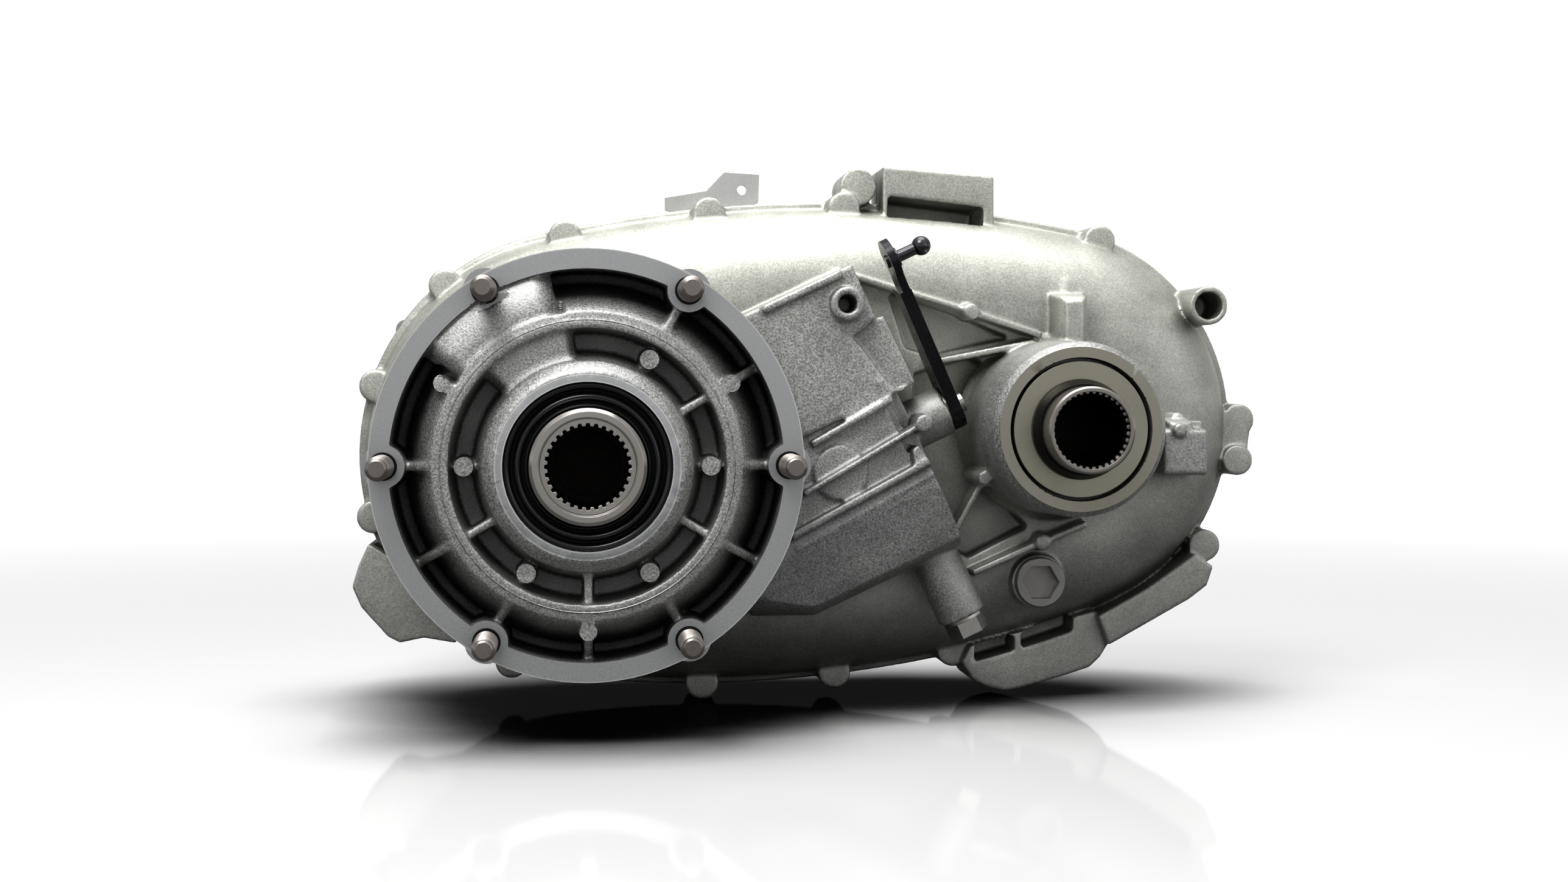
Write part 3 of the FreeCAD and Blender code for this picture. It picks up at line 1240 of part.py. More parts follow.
def input_gear():
    pitch, foot, tip = sun_numbers()
    foot_text = "gear_module * (sun_teeth / 2 - 1.25) + 0.05"
    blank = revolved("input_blank", [
        ("0", "-tube_front"), ("tube_radius - tube_chamfer", "-tube_front"),
        ("tube_radius", "tube_chamfer - tube_front"),
        ("tube_radius", "seal_back + 4"), ("input_bearing_inner", "seal_back + 6"),
        ("input_bearing_inner", "bearing_back"),
        ("input_shoulder_radius", "bearing_back"), ("input_shoulder_radius", "gear_front - 2"),
        (foot_text, "gear_front - 1"), (foot_text, "gear_back"), ("clutch_cup_radius", "gear_back"),
        ("clutch_cup_radius", "cup_back"), ("0", "cup_back"),
    ])
    halves = tooth_halves(pitch, foot, tip)
    wire = toothed_wire(size("sun_teeth"), foot, tip, halves[0], halves[1], 0, size("gear_front"))
    teeth = shaped("sun_teeth_ring", prism(wire, circle_wire(foot - 2, size("gear_front")),
                                           size("gear_width")))
    spline_start = size("counterbore_depth - tube_front") - 1
    half = 0.25 * 360.0 / size("spline_teeth")
    spline = toothed_wire(size("spline_teeth"), size("spline_tip_radius"), size("spline_root_radius"),
                          half * 1.25, half * 0.75, 0, spline_start)
    hollows = [
        cylinder("counterbore", "counterbore_radius", "counterbore_depth + 1",
                 VECTOR(0, -size("tube_front") - 1, 0)),
        shaped("input_spline", prism(spline, None, size("spline_length") + 1)),
        cylinder("plug_seat", "14", "8", VECTOR(0, spline_start + size("spline_length"), 0)),
        cylinder("pilot_bore", "pilot_radius + running_gap", "20", VECTOR(0, size("gear_front") + 5, 0)),
        shaped("clutch_pocket", prism(clutch_wire(0.2, size("gear_back") + 3), None,
                                      size("clutch_cup_length"))),
    ]
    part(carved("input_gear", fused("input_solid", [blank, teeth]), hollows))
    plug_back = "counterbore_depth - tube_front + spline_length + 5"
    part(tube("core_plug", "1.5", "14 - fit_gap", "(%s) - 3" % plug_back, plug_back))


def planetary():
    module = size("gear_module")
    sun_teeth = size("sun_teeth")
    planet_teeth = size("planet_teeth")
    ring_teeth = size("annulus_teeth")
    ring_pitch = module * ring_teeth / 2
    ring_tip = ring_pitch - 0.88 * module
    ring_foot = ring_pitch + 1.25 * module
    front = size("floor_back")
    halves = tooth_halves(ring_pitch, ring_foot, ring_tip)
    space = 180.0 / ring_teeth
    hollow = toothed_wire(ring_teeth, ring_tip, ring_foot, space - halves[1], space - halves[0], space,
                          front)
    rim = circle_wire(size("annulus_radius - fit_gap"), front)
    part(shaped("annulus_gear", prism(rim, hollow, size("annulus_back - floor_back"))))
    part(tube("annulus_snap_ring", "annulus_radius - 4", "annulus_radius - fit_gap", "annulus_back",
              "annulus_back + 2"))

    pitch = module * planet_teeth / 2
    foot = pitch - 1.25 * module
    tip = pitch + 0.88 * module
    halves = tooth_halves(pitch, foot, tip)
    near = size("gear_front")
    pins = []
    posts = []
    holes = []
    for index in range(int(size("planet_count"))):
        angle = index * 360.0 / size("planet_count")
        centre = polar(size("planet_circle"), angle)
        sun_phase = angle * sun_teeth / 360.0
        facing_tooth = abs(sun_phase - round(sun_phase)) < 0.25
        phase = 180.0 / planet_teeth if facing_tooth else 0.0
        wire = toothed_wire(planet_teeth, foot, tip, halves[0], halves[1], angle + phase, 0)
        bore = circle_wire(size("planet_pin_radius + running_gap"), 0)
        gear = prism(wire, bore, size("gear_width"))
        planet = shaped("planet_gear_%d" % (index + 1), gear)
        planet.Placement = FreeCAD.Placement(centre + VECTOR(0, near, 0), FreeCAD.Rotation())
        part(planet)
        pin_start = at_depth(centre, "carrier_front")
        pins.append(cylinder("planet_pin", "planet_pin_radius", "carrier_back - carrier_front", pin_start))
        holes.append(cylinder("pin_hole", "planet_pin_radius + fit_gap", "carrier_back - carrier_front + 2",
                              pin_start - VECTOR(0, 1, 0)))
        post_start = at_depth(polar(size("planet_circle"), angle + 180.0 / size("planet_count")),
                              "carrier_front + 1")
        posts.append(cylinder("carrier_post", "6.4", "carrier_back - carrier_front - 2", post_start))
    part(grouped("planet_pins", pins))
    lip = size("low_ring_back") - 4
    teeth = size("low_ring_teeth")
    half = 90.0 / teeth
    inner = toothed_wire(teeth, size("range_flange_radius") + 0.4, size("low_ring_bore") - 1, half * 1.2,
                         half * 0.8, 0, lip)
    ring = shaped("low_ring_teeth_ring", prism(circle_wire(size("low_ring_bore") + 1, lip), inner, 4))
    plates = [
        tube("carrier_front_plate", "carrier_bore", "carrier_radius", "carrier_front",
             "carrier_front + carrier_plate"),
        tube("carrier_rear_plate", "carrier_bore", "carrier_radius", "carrier_back - carrier_plate",
             "carrier_back"),
        tube("low_ring", "low_ring_bore", "low_ring_radius", "carrier_back - 1", "low_ring_back"),
        ring,
    ]
    part(carved("planet_carrier", fused("carrier_solid", plates + posts), holes))


# ---------------------------------------------------------------- mainshaft, hubs and chain drive

def mainshaft():
    shaft = revolved("shaft_blank", [
        ("0", "gear_front + 6"), ("pilot_radius", "gear_front + 6"), ("pilot_radius", "gear_back + 3.5"),
        ("main_radius", "gear_back + 3.5"), ("main_radius", "collar_front - 8"),
        ("journal_radius", "collar_front - 7"),
        ("journal_radius", "main_bearing_back"), ("main_radius", "main_bearing_back"),
        ("main_radius", "tail_end - 25"),
        ("0", "tail_end - 25"),
    ])
    start = size("tail_spline_start")
    half = 90.0 / 27
    wire = toothed_wire(27, size("main_radius"), size("main_radius") + 1.5, half * 1.2, half * 0.7, 0,
                        start)
    core = circle_wire(size("main_radius") - 3, start)
    spline = shaped("tail_spline", prism(wire, core, size("tail_end - 27 - tail_spline_start")))
    part(fused("mainshaft", [shaft, spline]))
    tone_start = size("sensor_depth") - 5
    wire = toothed_wire(24, size("tone_radius") - 3, size("tone_radius"), 3.4, 3.0, 0, tone_start)
    bore = circle_wire(size("main_radius + fit_gap"), tone_start)
    part(shaped("tone_ring", prism(wire, bore, 10)))
    part(tube("pump_rotor", "journal_radius + fit_gap", "pump_rotor_radius", "pump_front + 0.5",
              "pump_front + pump_width - 0.5"))


def hubs():
    nose_foot = "clutch_root_radius - 0.1"
    front = size("range_nose_front")
    blank = revolved("range_blank", [
        ("main_radius + running_gap", "range_nose_front"), (nose_foot, "range_nose_front"),
        (nose_foot, "range_flange_front"),
        ("range_flange_radius", "range_flange_front"), ("range_flange_radius", "range_flange_front + 5"),
        ("sleeve_radius", "range_flange_front + 5"), ("sleeve_radius", "range_groove_front"),
        ("sleeve_radius - 3", "range_groove_front"),
        ("sleeve_radius - 3", "range_groove_front + groove_width"),
        ("sleeve_radius + 3", "range_groove_front + groove_width"), ("sleeve_radius + 3", "range_back"),
        ("main_radius + running_gap", "range_back"),
    ])
    core = circle_wire(size("clutch_root_radius") - 3, front)
    nose = shaped("range_nose", prism(clutch_wire(0, front), core, 10))
    part(fused("range_hub", [blank, nose]))
    bore = "journal_radius + running_gap"
    blank = revolved("collar_blank", [
        (bore, "collar_front"), ("sleeve_radius", "collar_front"), ("sleeve_radius", "collar_groove_front"),
        ("sleeve_radius - 3", "collar_groove_front"),
        ("sleeve_radius - 3", "collar_groove_front + groove_width"),
        ("sleeve_radius", "collar_groove_front + groove_width"), ("sleeve_radius", "collar_back"),
        (nose_foot, "collar_back"), (nose_foot, "collar_back + 6"), (bore, "collar_back + 6"),
    ])
    front = size("collar_back")
    core = circle_wire(size("clutch_root_radius") - 2, front)
    nose = shaped("collar_nose", prism(clutch_wire(0, front), core, 6))
    part(fused("mode_collar", [blank, nose]))


def sprocket_blank(label, bore, centre=VECTOR()):
    """A chain sprocket with straight-sided teeth."""
    teeth = size("sprocket_teeth")
    tip = size("sprocket_tip")
    front = size("sprocket_front")
    half = 90.0 / teeth
    wire = toothed_wire(teeth, tip - size("tooth_height"), tip, half * 1.35, half * 0.6, 0, front)
    shape = prism(wire, circle_wire(size(bore), front), size("sprocket_width"))
    shape.translate(VECTOR(centre.x, 0, centre.z))
    return shaped(label, shape)


def chain_drive():
    blank = sprocket_blank("drive_blank", "journal_radius + running_gap")
    pocket = shaped("drive_pocket", prism(clutch_wire(0.2, size("sprocket_front") - 1), None, 7))
    part(carved("drive_sprocket", blank, [pocket]))
    part(sprocket_blank("driven_sprocket", "journal_radius + fit_gap", front_axis().Base))
    pitch = size("chain_pitch")
    radius = size("pitch_radius")
    strand = size("centre_distance")
    loop = 2 * strand + 2 * math.pi * radius
    inner = -(radius - size("sprocket_tip") - size("chain_clearance"))
    outer = inner + size("chain_thickness")
    place = FreeCAD.Placement(VECTOR(0, size("chain_front"), 0),
                              FreeCAD.Rotation(ALONG_Y, -size("centre_tilt")))
    links = []
    for index in range(int(round(loop / pitch))):
        run = (index + 0.5) * pitch
        links.append(chain_link(run, strand, radius, inner, outer, pitch, place))
    part(grouped("drive_chain", links))


def chain_link(run, strand, radius, inner, outer, pitch, place):
    """One link block, placed by its distance along the pitch line of the loop."""
    arc = math.pi * radius
    if run < strand:
        middle, heading = VECTOR(run, 0, radius), 0.0
    elif run < strand + arc:
        heading = -math.degrees((run - strand) / radius)
        middle = VECTOR(strand, 0, 0) + polar(radius, 90 + heading)
    elif run < 2 * strand + arc:
        middle, heading = VECTOR(strand - (run - strand - arc), 0, -radius), 180.0
    else:
        heading = 180 - math.degrees((run - 2 * strand - arc) / radius)
        middle = polar(radius, 90 + heading)
    turn = FreeCAD.Placement(VECTOR(middle.x, 0, middle.z), FreeCAD.Rotation(ALONG_Y, -heading))
    corner = (-pitch * 0.47, 0, inner)
    return box("link", "chain_pitch * 0.94", "chain_width", str(outer - inner), corner,
               place.multiply(turn))


def front_output_shaft():
    centre = front_axis()
    shaft = revolved("output_blank", [
        ("0", "output_face - output_tube_reach"), ("output_tube_radius - 0.8",
                                                   "output_face - output_tube_reach"),
        ("output_tube_radius", "output_face - output_tube_reach + 0.8"),
        ("output_tube_radius", "output_face + 5"),
        ("output_tube_radius + 1", "output_face + 6"), ("output_tube_radius + 1", "output_bearing_front"),
        ("journal_radius", "output_bearing_front"),
        ("journal_radius", "output_bearing_front + bearing_width"),
        ("journal_radius + 4", "output_bearing_front + bearing_width"),
        ("journal_radius + 4", "sprocket_front - 12"),
        ("journal_radius + 4", "sprocket_front"), ("journal_radius", "sprocket_front"),
        ("journal_radius", "sprocket_back"),
        ("rear_journal_radius", "sprocket_back + 2"), ("rear_journal_radius", "rear_face - 3"),
        ("0", "rear_face - 3"),
    ], centre)
    front = size("output_face - output_tube_reach") - 1
    teeth = size("output_teeth")
    half = 90.0 / teeth
    wire = toothed_wire(teeth, size("output_tip_radius"), size("output_bore_radius"), half * 1.2,
                        half * 0.8, 0, front + 3)
    spline = prism(wire, None, 60)
    spline.translate(VECTOR(centre.Base.x, 0, centre.Base.z))
    mouth = cylinder("output_mouth", "output_bore_radius", "4", centre.Base + VECTOR(0, front, 0))
    part(carved("front_output_shaft", shaft, [shaped("output_spline", spline), mouth]))


# ---------------------------------------------------------------- shift mechanism

def fork(label, groove_front, boss_front, boss_back, pin):
    """A shift fork: band in the hub's groove, web, and a boss that slides on the rail."""
    near = "%s + fork_gap" % groove_front
    far = "%s + fork_plate" % near
    inner = "sleeve_radius - 3 + fork_gap"
    outer = "%s + fork_band" % inner
    rail = rail_point()
    towards = math.degrees(math.atan2(rail.z, rail.x))
    place = turned_about_y(towards)
    band = revolved(label + "_band", [(inner, near), (outer, near), (outer, far), (inner, far)],
                    turned_about_y(towards + size("fork_span") / 2), size("fork_span"))
    reach = str(rail.Length)
    web = padded(label + "_web", [
        ("%s - 2" % outer, "-14"), ("%s - fork_boss_radius + 2" % reach, "-8"),
        ("%s - fork_boss_radius + 2" % reach, "8"),
        ("%s - 2" % outer, "14"),
    ], near, far, place)
    boss = cylinder(label + "_boss", "fork_boss_radius", "(%s) - (%s)" % (boss_back, boss_front),
                    at_depth(rail, boss_front))
    pieces = [band, web, boss]
    if pin:
        start = VECTOR(size("rail_along"), size("shift_shaft_depth"), size("rail_z"))
        pieces.append(cylinder(label + "_pin", "fork_pin_radius", "sector_back - rail_along",
                               start, VECTOR(1, 0, 0), tilted()))
    hole = cylinder(label + "_hole", "rail_radius + running_gap",
                    "(%s) - (%s) + 2" % (boss_back, boss_front),
                    at_depth(rail, "(%s) - 1" % boss_front))
    part(carved(label, fused(label + "_solid", pieces), [hole]))


def shift_gear():
    part(cylinder("shift_rail", "rail_radius", "rail_back - rail_front - 1",
                  at_depth(rail_point(), "rail_front + 0.5")))
    fork("range_fork", "range_groove_front", "shift_shaft_depth - 7", "range_groove_front + groove_width",
         True)
    fork("mode_fork", "collar_groove_front", "collar_front - 2", "collar_back + 2", False)
    place = tilted()
    along = VECTOR(1, 0, 0)
    pivot = VECTOR(0, size("shift_shaft_depth"), size("shaft_z"))
    shaft = cylinder("shift_bar", "shift_shaft_radius", "lever_end + 0.5 - 83", pivot + VECTOR(83, 0, 0),
                     along, place)
    nose = cylinder("shift_nose", "shift_shaft_radius - 3.5", "3", pivot + VECTOR(size("lever_end"), 0, 0),
                    along, place)
    start = pivot + VECTOR(size("sector_start"), 0, 0)
    fan = cylinder("sector_fan", "sector_radius", "sector_thickness", start, along, place)
    fan.Angle = size("sector_front_angle + sector_rear_angle")
    fan.Placement = fan.Placement.multiply(
        FreeCAD.Placement(VECTOR(), FreeCAD.Rotation(VECTOR(0, 0, 1), -size("sector_front_angle"))))
    hub = cylinder("sector_hub", "shift_shaft_radius + 4.5", "sector_thickness", start, along, place)
    half = size("fork_pin_radius") + 1.2
    slot = box("sector_slot", "sector_thickness + 2", str(2 * half), "11.4",
               (size("sector_start") - 1, size("shift_shaft_depth") - half, size("shaft_z") - 28.4), place)
    part(carved("shift_shaft", fused("shift_solid", [shaft, nose, fan, hub]), [slot]))
    lever(place, pivot)
    detent(place)


def lever(place, pivot):
    """The outside arm, leaning forward, with its ball stud near the top."""
    side_on = FreeCAD.Placement(pivot, FreeCAD.Rotation(VECTOR(0, 0, 1), -90))
    lean = FreeCAD.Placement(VECTOR(), FreeCAD.Rotation(ALONG_Y, size("lever_lean")))
    frame = place.multiply(side_on).multiply(lean)
    reach = "lever_reach"
    arm = padded("lever_arm", [
        ("-10.4", "-4"), ("10.4", "-4"), ("9.5", "%s * 0.35" % reach), ("7", "%s - 14" % reach),
        ("-7", "%s - 14" % reach), ("-9.5", "%s * 0.35" % reach),
    ], "lever_start", "lever_end", frame)
    eye_front = "lever_start + 1.5"
    eye_back = "lever_end - 0.5"
    neck = padded("lever_neck", rectangle("-7", "7", "%s - 16" % reach, reach), eye_front, eye_back, frame)
    foot = cylinder("lever_foot", "10.4", "lever_thickness", VECTOR(0, size("lever_start"), 0), ALONG_Y,
                    frame)
    eye = cylinder("lever_eye", "9.6", "(%s) - (%s)" % (eye_back, eye_front),
                   VECTOR(0, size(eye_front), size(reach)),
                   ALONG_Y, frame)
    hollows = [
        cylinder("lever_bore", "shift_shaft_radius + fit_gap", "20", VECTOR(0, size("lever_start") - 5, 0),
                 ALONG_Y, frame),
        cylinder("stud_bore", "3 + fit_gap", "20", VECTOR(0, size("lever_start") - 5, size(reach)), ALONG_Y,
                 frame),
    ]
    part(carved("shift_lever", fused("lever_solid", [arm, neck, foot, eye]), hollows))
    start = size(eye_front) - 1
    end = size(eye_back)
    pieces = [
        cylinder("stud_rivet", "3", "(%s) - (%s) + 2" % (eye_back, eye_front),
                 VECTOR(0, start, size(reach)), ALONG_Y, frame),
        cylinder("stud_collar", "4.4", "1.6", VECTOR(0, end, size(reach)), ALONG_Y, frame),
        cylinder("stud_neck", "2.7", "12", VECTOR(0, end, size(reach)), ALONG_Y, frame),
    ]
    ball = doc.addObject("Part::Sphere", "stud_ball")
    bind(ball, "Radius", "4.35")
    ball.Placement = frame.multiply(on_axis(0, end + 13, size(reach)))
    part(fused("ball_stud", pieces + [ball]))


def detent(place):
    """Sprung plunger that rests in the sector's rim, and its coil, drawn as a sleeve."""
    top = -size("sector_rim") - size("detent_gap")
    down = FreeCAD.Rotation(ALONG_Y, VECTOR(0, 0, -1))
    frame = place.multiply(FreeCAD.Placement(VECTOR(size("detent_along"), size("shift_shaft_depth"), top),
                                             down))
    part(revolved("detent_plunger", [
        ("0", "0"), ("1.6", "0"), ("detent_bore - running_gap", "5"),
        ("detent_bore - running_gap", "plunger_length"),
        ("0", "plunger_length"),
    ], frame))
    reach = "detent_boss_end - detent_plug_depth - sector_rim - detent_gap"
    part(tube("detent_spring", "detent_bore - 2", "detent_bore - 0.5", "plunger_length", reach, frame))


# ---------------------------------------------------------------- build and write

def check_document():
    """Stops if any object failed or any sub-part has no sound solid."""
    for item in doc.Objects:
        if "Invalid" in item.State or "Error" in item.State:
            raise SystemExit("failed object: %s (%s)" % (item.Label, item.Name))
    for thing in parts:
        shape = thing.Shape
        if shape.isNull() or not shape.isValid() or shape.Volume <= 0:
            raise SystemExit("unsound sub-part: " + thing.Label)


front_case()
rear_case()
tail_housing()
seals()
bearings()
studs_and_bolts()
plugs()
small_fittings()
input_gear()
planetary()
mainshaft()
hubs()
chain_drive()
front_output_shaft()
shift_gear()
doc.recompute()
check_document()
os.makedirs("parts", exist_ok=True)
for thing in parts:
    thing.Shape.exportStep(os.path.join("parts", thing.Label + ".step"))
print(len(parts), "sub-parts written")
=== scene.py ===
"""Transfer case: materials, finishing detail, floor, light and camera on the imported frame."""
import json
import math

import bmesh
import bpy
from mathutils import Matrix, Vector


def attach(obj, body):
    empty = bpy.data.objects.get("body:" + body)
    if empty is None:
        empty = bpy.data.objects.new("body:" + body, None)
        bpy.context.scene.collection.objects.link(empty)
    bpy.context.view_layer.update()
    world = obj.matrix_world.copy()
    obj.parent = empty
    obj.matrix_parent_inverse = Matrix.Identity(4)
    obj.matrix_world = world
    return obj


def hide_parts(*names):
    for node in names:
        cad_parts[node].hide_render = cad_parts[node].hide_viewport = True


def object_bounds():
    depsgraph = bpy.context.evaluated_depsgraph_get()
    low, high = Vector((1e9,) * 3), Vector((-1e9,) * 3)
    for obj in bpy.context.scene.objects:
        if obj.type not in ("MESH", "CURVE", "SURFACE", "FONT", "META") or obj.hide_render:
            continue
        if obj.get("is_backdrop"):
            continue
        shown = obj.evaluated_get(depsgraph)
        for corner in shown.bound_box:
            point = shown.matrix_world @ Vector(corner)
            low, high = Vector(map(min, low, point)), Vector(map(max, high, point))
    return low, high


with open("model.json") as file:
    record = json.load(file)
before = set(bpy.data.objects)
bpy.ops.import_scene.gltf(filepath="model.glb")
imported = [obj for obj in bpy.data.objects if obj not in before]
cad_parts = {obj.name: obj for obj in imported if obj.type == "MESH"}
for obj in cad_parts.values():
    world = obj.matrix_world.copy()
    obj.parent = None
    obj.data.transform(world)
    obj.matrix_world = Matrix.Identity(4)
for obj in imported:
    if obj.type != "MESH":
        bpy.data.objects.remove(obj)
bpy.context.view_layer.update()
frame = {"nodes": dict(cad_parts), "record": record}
nodes = frame["nodes"]

# Axes along Y, as X and Z, and the machined faces of the front casting, in metres of the CAD frame.
INPUT_AXIS = (0.0, 0.0)
FRONT_AXIS = (0.213868, 0.013605)
RING_DEPTH, RING_FACE = 0.0, (0.0804, 0.0886)
HUB_DEPTH, HUB_FACE = -0.012, (0.0343, 0.0375)
BOSS_DEPTH, BOSS_FACE = 0.040, (0.0314, 0.0359)
STUD_CIRCLE = 0.08255
STUD_ANGLES = (0, 60, 120, 180, 240, 300)
STUD_HOLE = 0.0058
EAR = 0.0088


# ---------------------------------------------------------------- shader building blocks

def new_material(name, color, metallic, roughness):
    """A Principled material with its constants on the sockets."""
    material = bpy.data.materials.new(name)
    material.use_nodes = True
    shader = material.node_tree.nodes["Principled BSDF"]
    shader.inputs["Base Color"].default_value = (*color, 1.0)
    shader.inputs["Metallic"].default_value = metallic
    shader.inputs["Roughness"].default_value = roughness
    return material, material.node_tree, shader


def object_point(tree):
    """Object coordinates, in metres of the CAD frame."""
    return tree.nodes.new("ShaderNodeTexCoord").outputs["Object"]


def split(tree, vector):
    parts = tree.nodes.new("ShaderNodeSeparateXYZ")
    tree.links.new(vector, parts.inputs[0])
    return parts.outputs


def math_node(tree, kind, first, second=None):
    node = tree.nodes.new("ShaderNodeMath")
    node.operation = kind
    for index, value in enumerate((first, second)):
        if value is None:
            continue
        if isinstance(value, (int, float)):
            node.inputs[index].default_value = value
        else:
            tree.links.new(value, node.inputs[index])
    return node.outputs[0]


def product(tree, first, second):
    return math_node(tree, "MULTIPLY", first, second)


def total(tree, first, second):
    return math_node(tree, "ADD", first, second)


def larger(tree, first, second):
    return math_node(tree, "MAXIMUM", first, second)


def ramp(tree, value, start, end, low=0.0, high=1.0):
    """Maps a value from one range onto another, held at both ends."""
    node = tree.nodes.new("ShaderNodeMapRange")
    node.inputs["From Min"].default_value = start
    node.inputs["From Max"].default_value = end
    node.inputs["To Min"].default_value = low
    node.inputs["To Max"].default_value = high
    tree.links.new(value, node.inputs["Value"])
    return node.outputs["Result"]


def noise(tree, scale, detail=3.0, roughness=0.6, stretch=None):
    """A noise in object coordinates, in which one unit is a metre."""
    texture = tree.nodes.new("ShaderNodeTexNoise")
    texture.inputs["Scale"].default_value = scale
    texture.inputs["Detail"].default_value = detail
    texture.inputs["Roughness"].default_value = roughness
    source = object_point(tree)
    if stretch:
        mapping = tree.nodes.new("ShaderNodeMapping")
        mapping.inputs["Scale"].default_value = stretch
        tree.links.new(source, mapping.inputs["Vector"])
        source = mapping.outputs["Vector"]
    tree.links.new(source, texture.inputs["Vector"])
    return texture.outputs["Fac"]


def mix_color(tree, factor, first, second, kind="MIX"):
    mix = tree.nodes.new("ShaderNodeMix")
    mix.data_type = "RGBA"
    mix.blend_type = kind
    for name, value in (("Factor", factor), ("A", first), ("B", second)):
        sockets = [item for item in mix.inputs if item.name == name and item.enabled]
        if isinstance(value, tuple):
            sockets[0].default_value = (*value, 1.0)
        elif isinstance(value, float):
            sockets[0].default_value = value
        else:
            tree.links.new(value, sockets[0])
    return [item for item in mix.outputs if item.enabled][0]


def tinted(tree, tone, tint):
    return mix_color(tree, 1.0, tone, tint, "MULTIPLY")


def add_bump(tree, shader, height, distance, strength=1.0, normal=None):
    bump = tree.nodes.new("ShaderNodeBump")
    bump.inputs["Strength"].default_value = strength
    bump.inputs["Distance"].default_value = distance
    tree.links.new(height, bump.inputs["Height"])
    if normal:
        tree.links.new(normal, bump.inputs["Normal"])
    tree.links.new(bump.outputs["Normal"], shader.inputs["Normal"])


def round_normal(tree, radius):
    """Softens the shaded edges of a piece by that radius, in metres."""
    bevel = tree.nodes.new("ShaderNodeBevel")
    bevel.samples = 4
    bevel.inputs["Radius"].default_value = radius
    return bevel.outputs["Normal"]


def length_of(tree, first, second):
    """Length of the vector with these two parts."""
    return math_node(tree, "SQRT", total(tree, product(tree, first, first), product(tree, second, second)))


def radius_about(tree, axis):
    """Distance from a line along Y."""
    parts = split(tree, object_point(tree))
    across = math_node(tree, "SUBTRACT", parts[0], axis[0])
    up = math_node(tree, "SUBTRACT", parts[2], axis[1])
    return length_of(tree, across, up)


def band(tree, value, low, high, edge):
    """One inside a range of values and zero outside it."""
    rise = ramp(tree, value, low - edge, low + edge)
    fall = ramp(tree, value, high - edge, high + edge, 1.0, 0.0)
    return product(tree, rise, fall)


def faces_front(tree):
    """One on faces that look to the front of the case, along -Y."""
    geometry = tree.nodes.new("ShaderNodeNewGeometry")
    return ramp(tree, split(tree, geometry.outputs["Normal"])[1], -0.9, -0.98)


def stud_gap(tree):
    """One in the narrow gap around each stud of the flange."""
    parts = split(tree, object_point(tree))
    spacing = math.radians(60)
    angle = math_node(tree, "ARCTAN2", parts[2], parts[0])
    folded = math_node(tree, "FLOORED_MODULO", total(tree, angle, spacing / 2), spacing)
    turn = math_node(tree, "SUBTRACT", folded, spacing / 2)
    reach = radius_about(tree, INPUT_AXIS)
    outward = product(tree, reach, math_node(tree, "COSINE", turn))
    along = math_node(tree, "SUBTRACT", outward, STUD_CIRCLE)
    across = product(tree, reach, math_node(tree, "SINE", turn))
    return ramp(tree, length_of(tree, along, across), STUD_HOLE - 0.0001, STUD_HOLE + 0.0001, 1.0, 0.0)


def occlusion_shade(tree, distance, dark, closed=0.25, opened=0.95, samples=6):
    """Painted shade from ambient occlusion: it goes from the dark level where the surface is closed in to one
    where it is open.
    """
    shade = tree.nodes.new("ShaderNodeAmbientOcclusion")
    shade.samples = samples
    shade.inputs["Distance"].default_value = distance
    return ramp(tree, shade.outputs["AO"], closed, opened, dark, 1.0)


# ---------------------------------------------------------------- materials

# Painted shade deep in bores, and painted shade lines at the edges of counterbores.
BORE_SHADE = (0.006, 0.0055, 0.005)
EDGE_SHADE_TINT = (0.3, 0.3, 0.28)


def metal(name, light, dark, roughness, grain=900.0, bump=0.00003, edge=0.0004, stretch=None,
          bore=None, vary=0.08, rings=()):
    """A metal that varies at a fine grain; painted shade darkens its bore with depth, and its rings are
    painted shade lines.
    """
    material, tree, shader = new_material(name, light, 1.0, roughness)
    fine = noise(tree, grain, stretch=stretch)
    broad = noise(tree, 30.0)
    tone = mix_color(tree, ramp(tree, broad, 0.3, 0.7), light, dark)
    # Painted shade: the bore darkens with depth.
    if bore:
        axis, reach, mouth, end = bore
        inside = ramp(tree, radius_about(tree, axis), reach, reach + 0.0002, 1.0, 0.0)
        depth = ramp(tree, split(tree, object_point(tree))[1], mouth, end)
        tone = mix_color(tree, product(tree, inside, depth), tone, BORE_SHADE)
    # Painted shade lines round the edges of counterbores.
    for axis, low, high in rings:
        line = band(tree, radius_about(tree, axis), low, high, 0.00012)
        tone = mix_color(tree, line, tone, tinted(tree, tone, EDGE_SHADE_TINT))
    tree.links.new(tone, shader.inputs["Base Color"])
    gloss = ramp(tree, fine, 0.3, 0.7, roughness - vary, roughness + vary)
    tree.links.new(gloss, shader.inputs["Roughness"])
    add_bump(tree, shader, fine, bump, 0.5, round_normal(tree, edge) if edge else None)
    return material


# Colours of the castings: skin, grain, dome, painted light from low to high, painted shade in the pockets,
# and milled faces.
CAST_LIGHT, CAST_DARK = (0.57, 0.57, 0.555), (0.42, 0.42, 0.41)
GRAIN_DARK, GRAIN_LIGHT = (0.58, 0.58, 0.58), (1.35, 1.35, 1.35)
DOME_TINT = (1.16, 1.17, 1.10)
# Painted light: lighter high and darker low on the housings.
PAINTED_SHADE_LOW, PAINTED_LIGHT_HIGH = (0.90, 0.90, 0.92), (1.10, 1.10, 1.08)
# Painted shade in the bell's pockets.
POCKET_SHADE = (0.30, 0.30, 0.31)
MILLED_LIGHT, MILLED_DARK = (0.60, 0.61, 0.615), (0.52, 0.53, 0.535)
BOSS_TONE = (0.42, 0.405, 0.335)
# Painted shade in the gap round each stud.
STUD_GAP_SHADE = (0.02, 0.02, 0.02)
# Painted highlight on the milled edges.
RIM_HIGHLIGHT = (0.85, 0.86, 0.85)
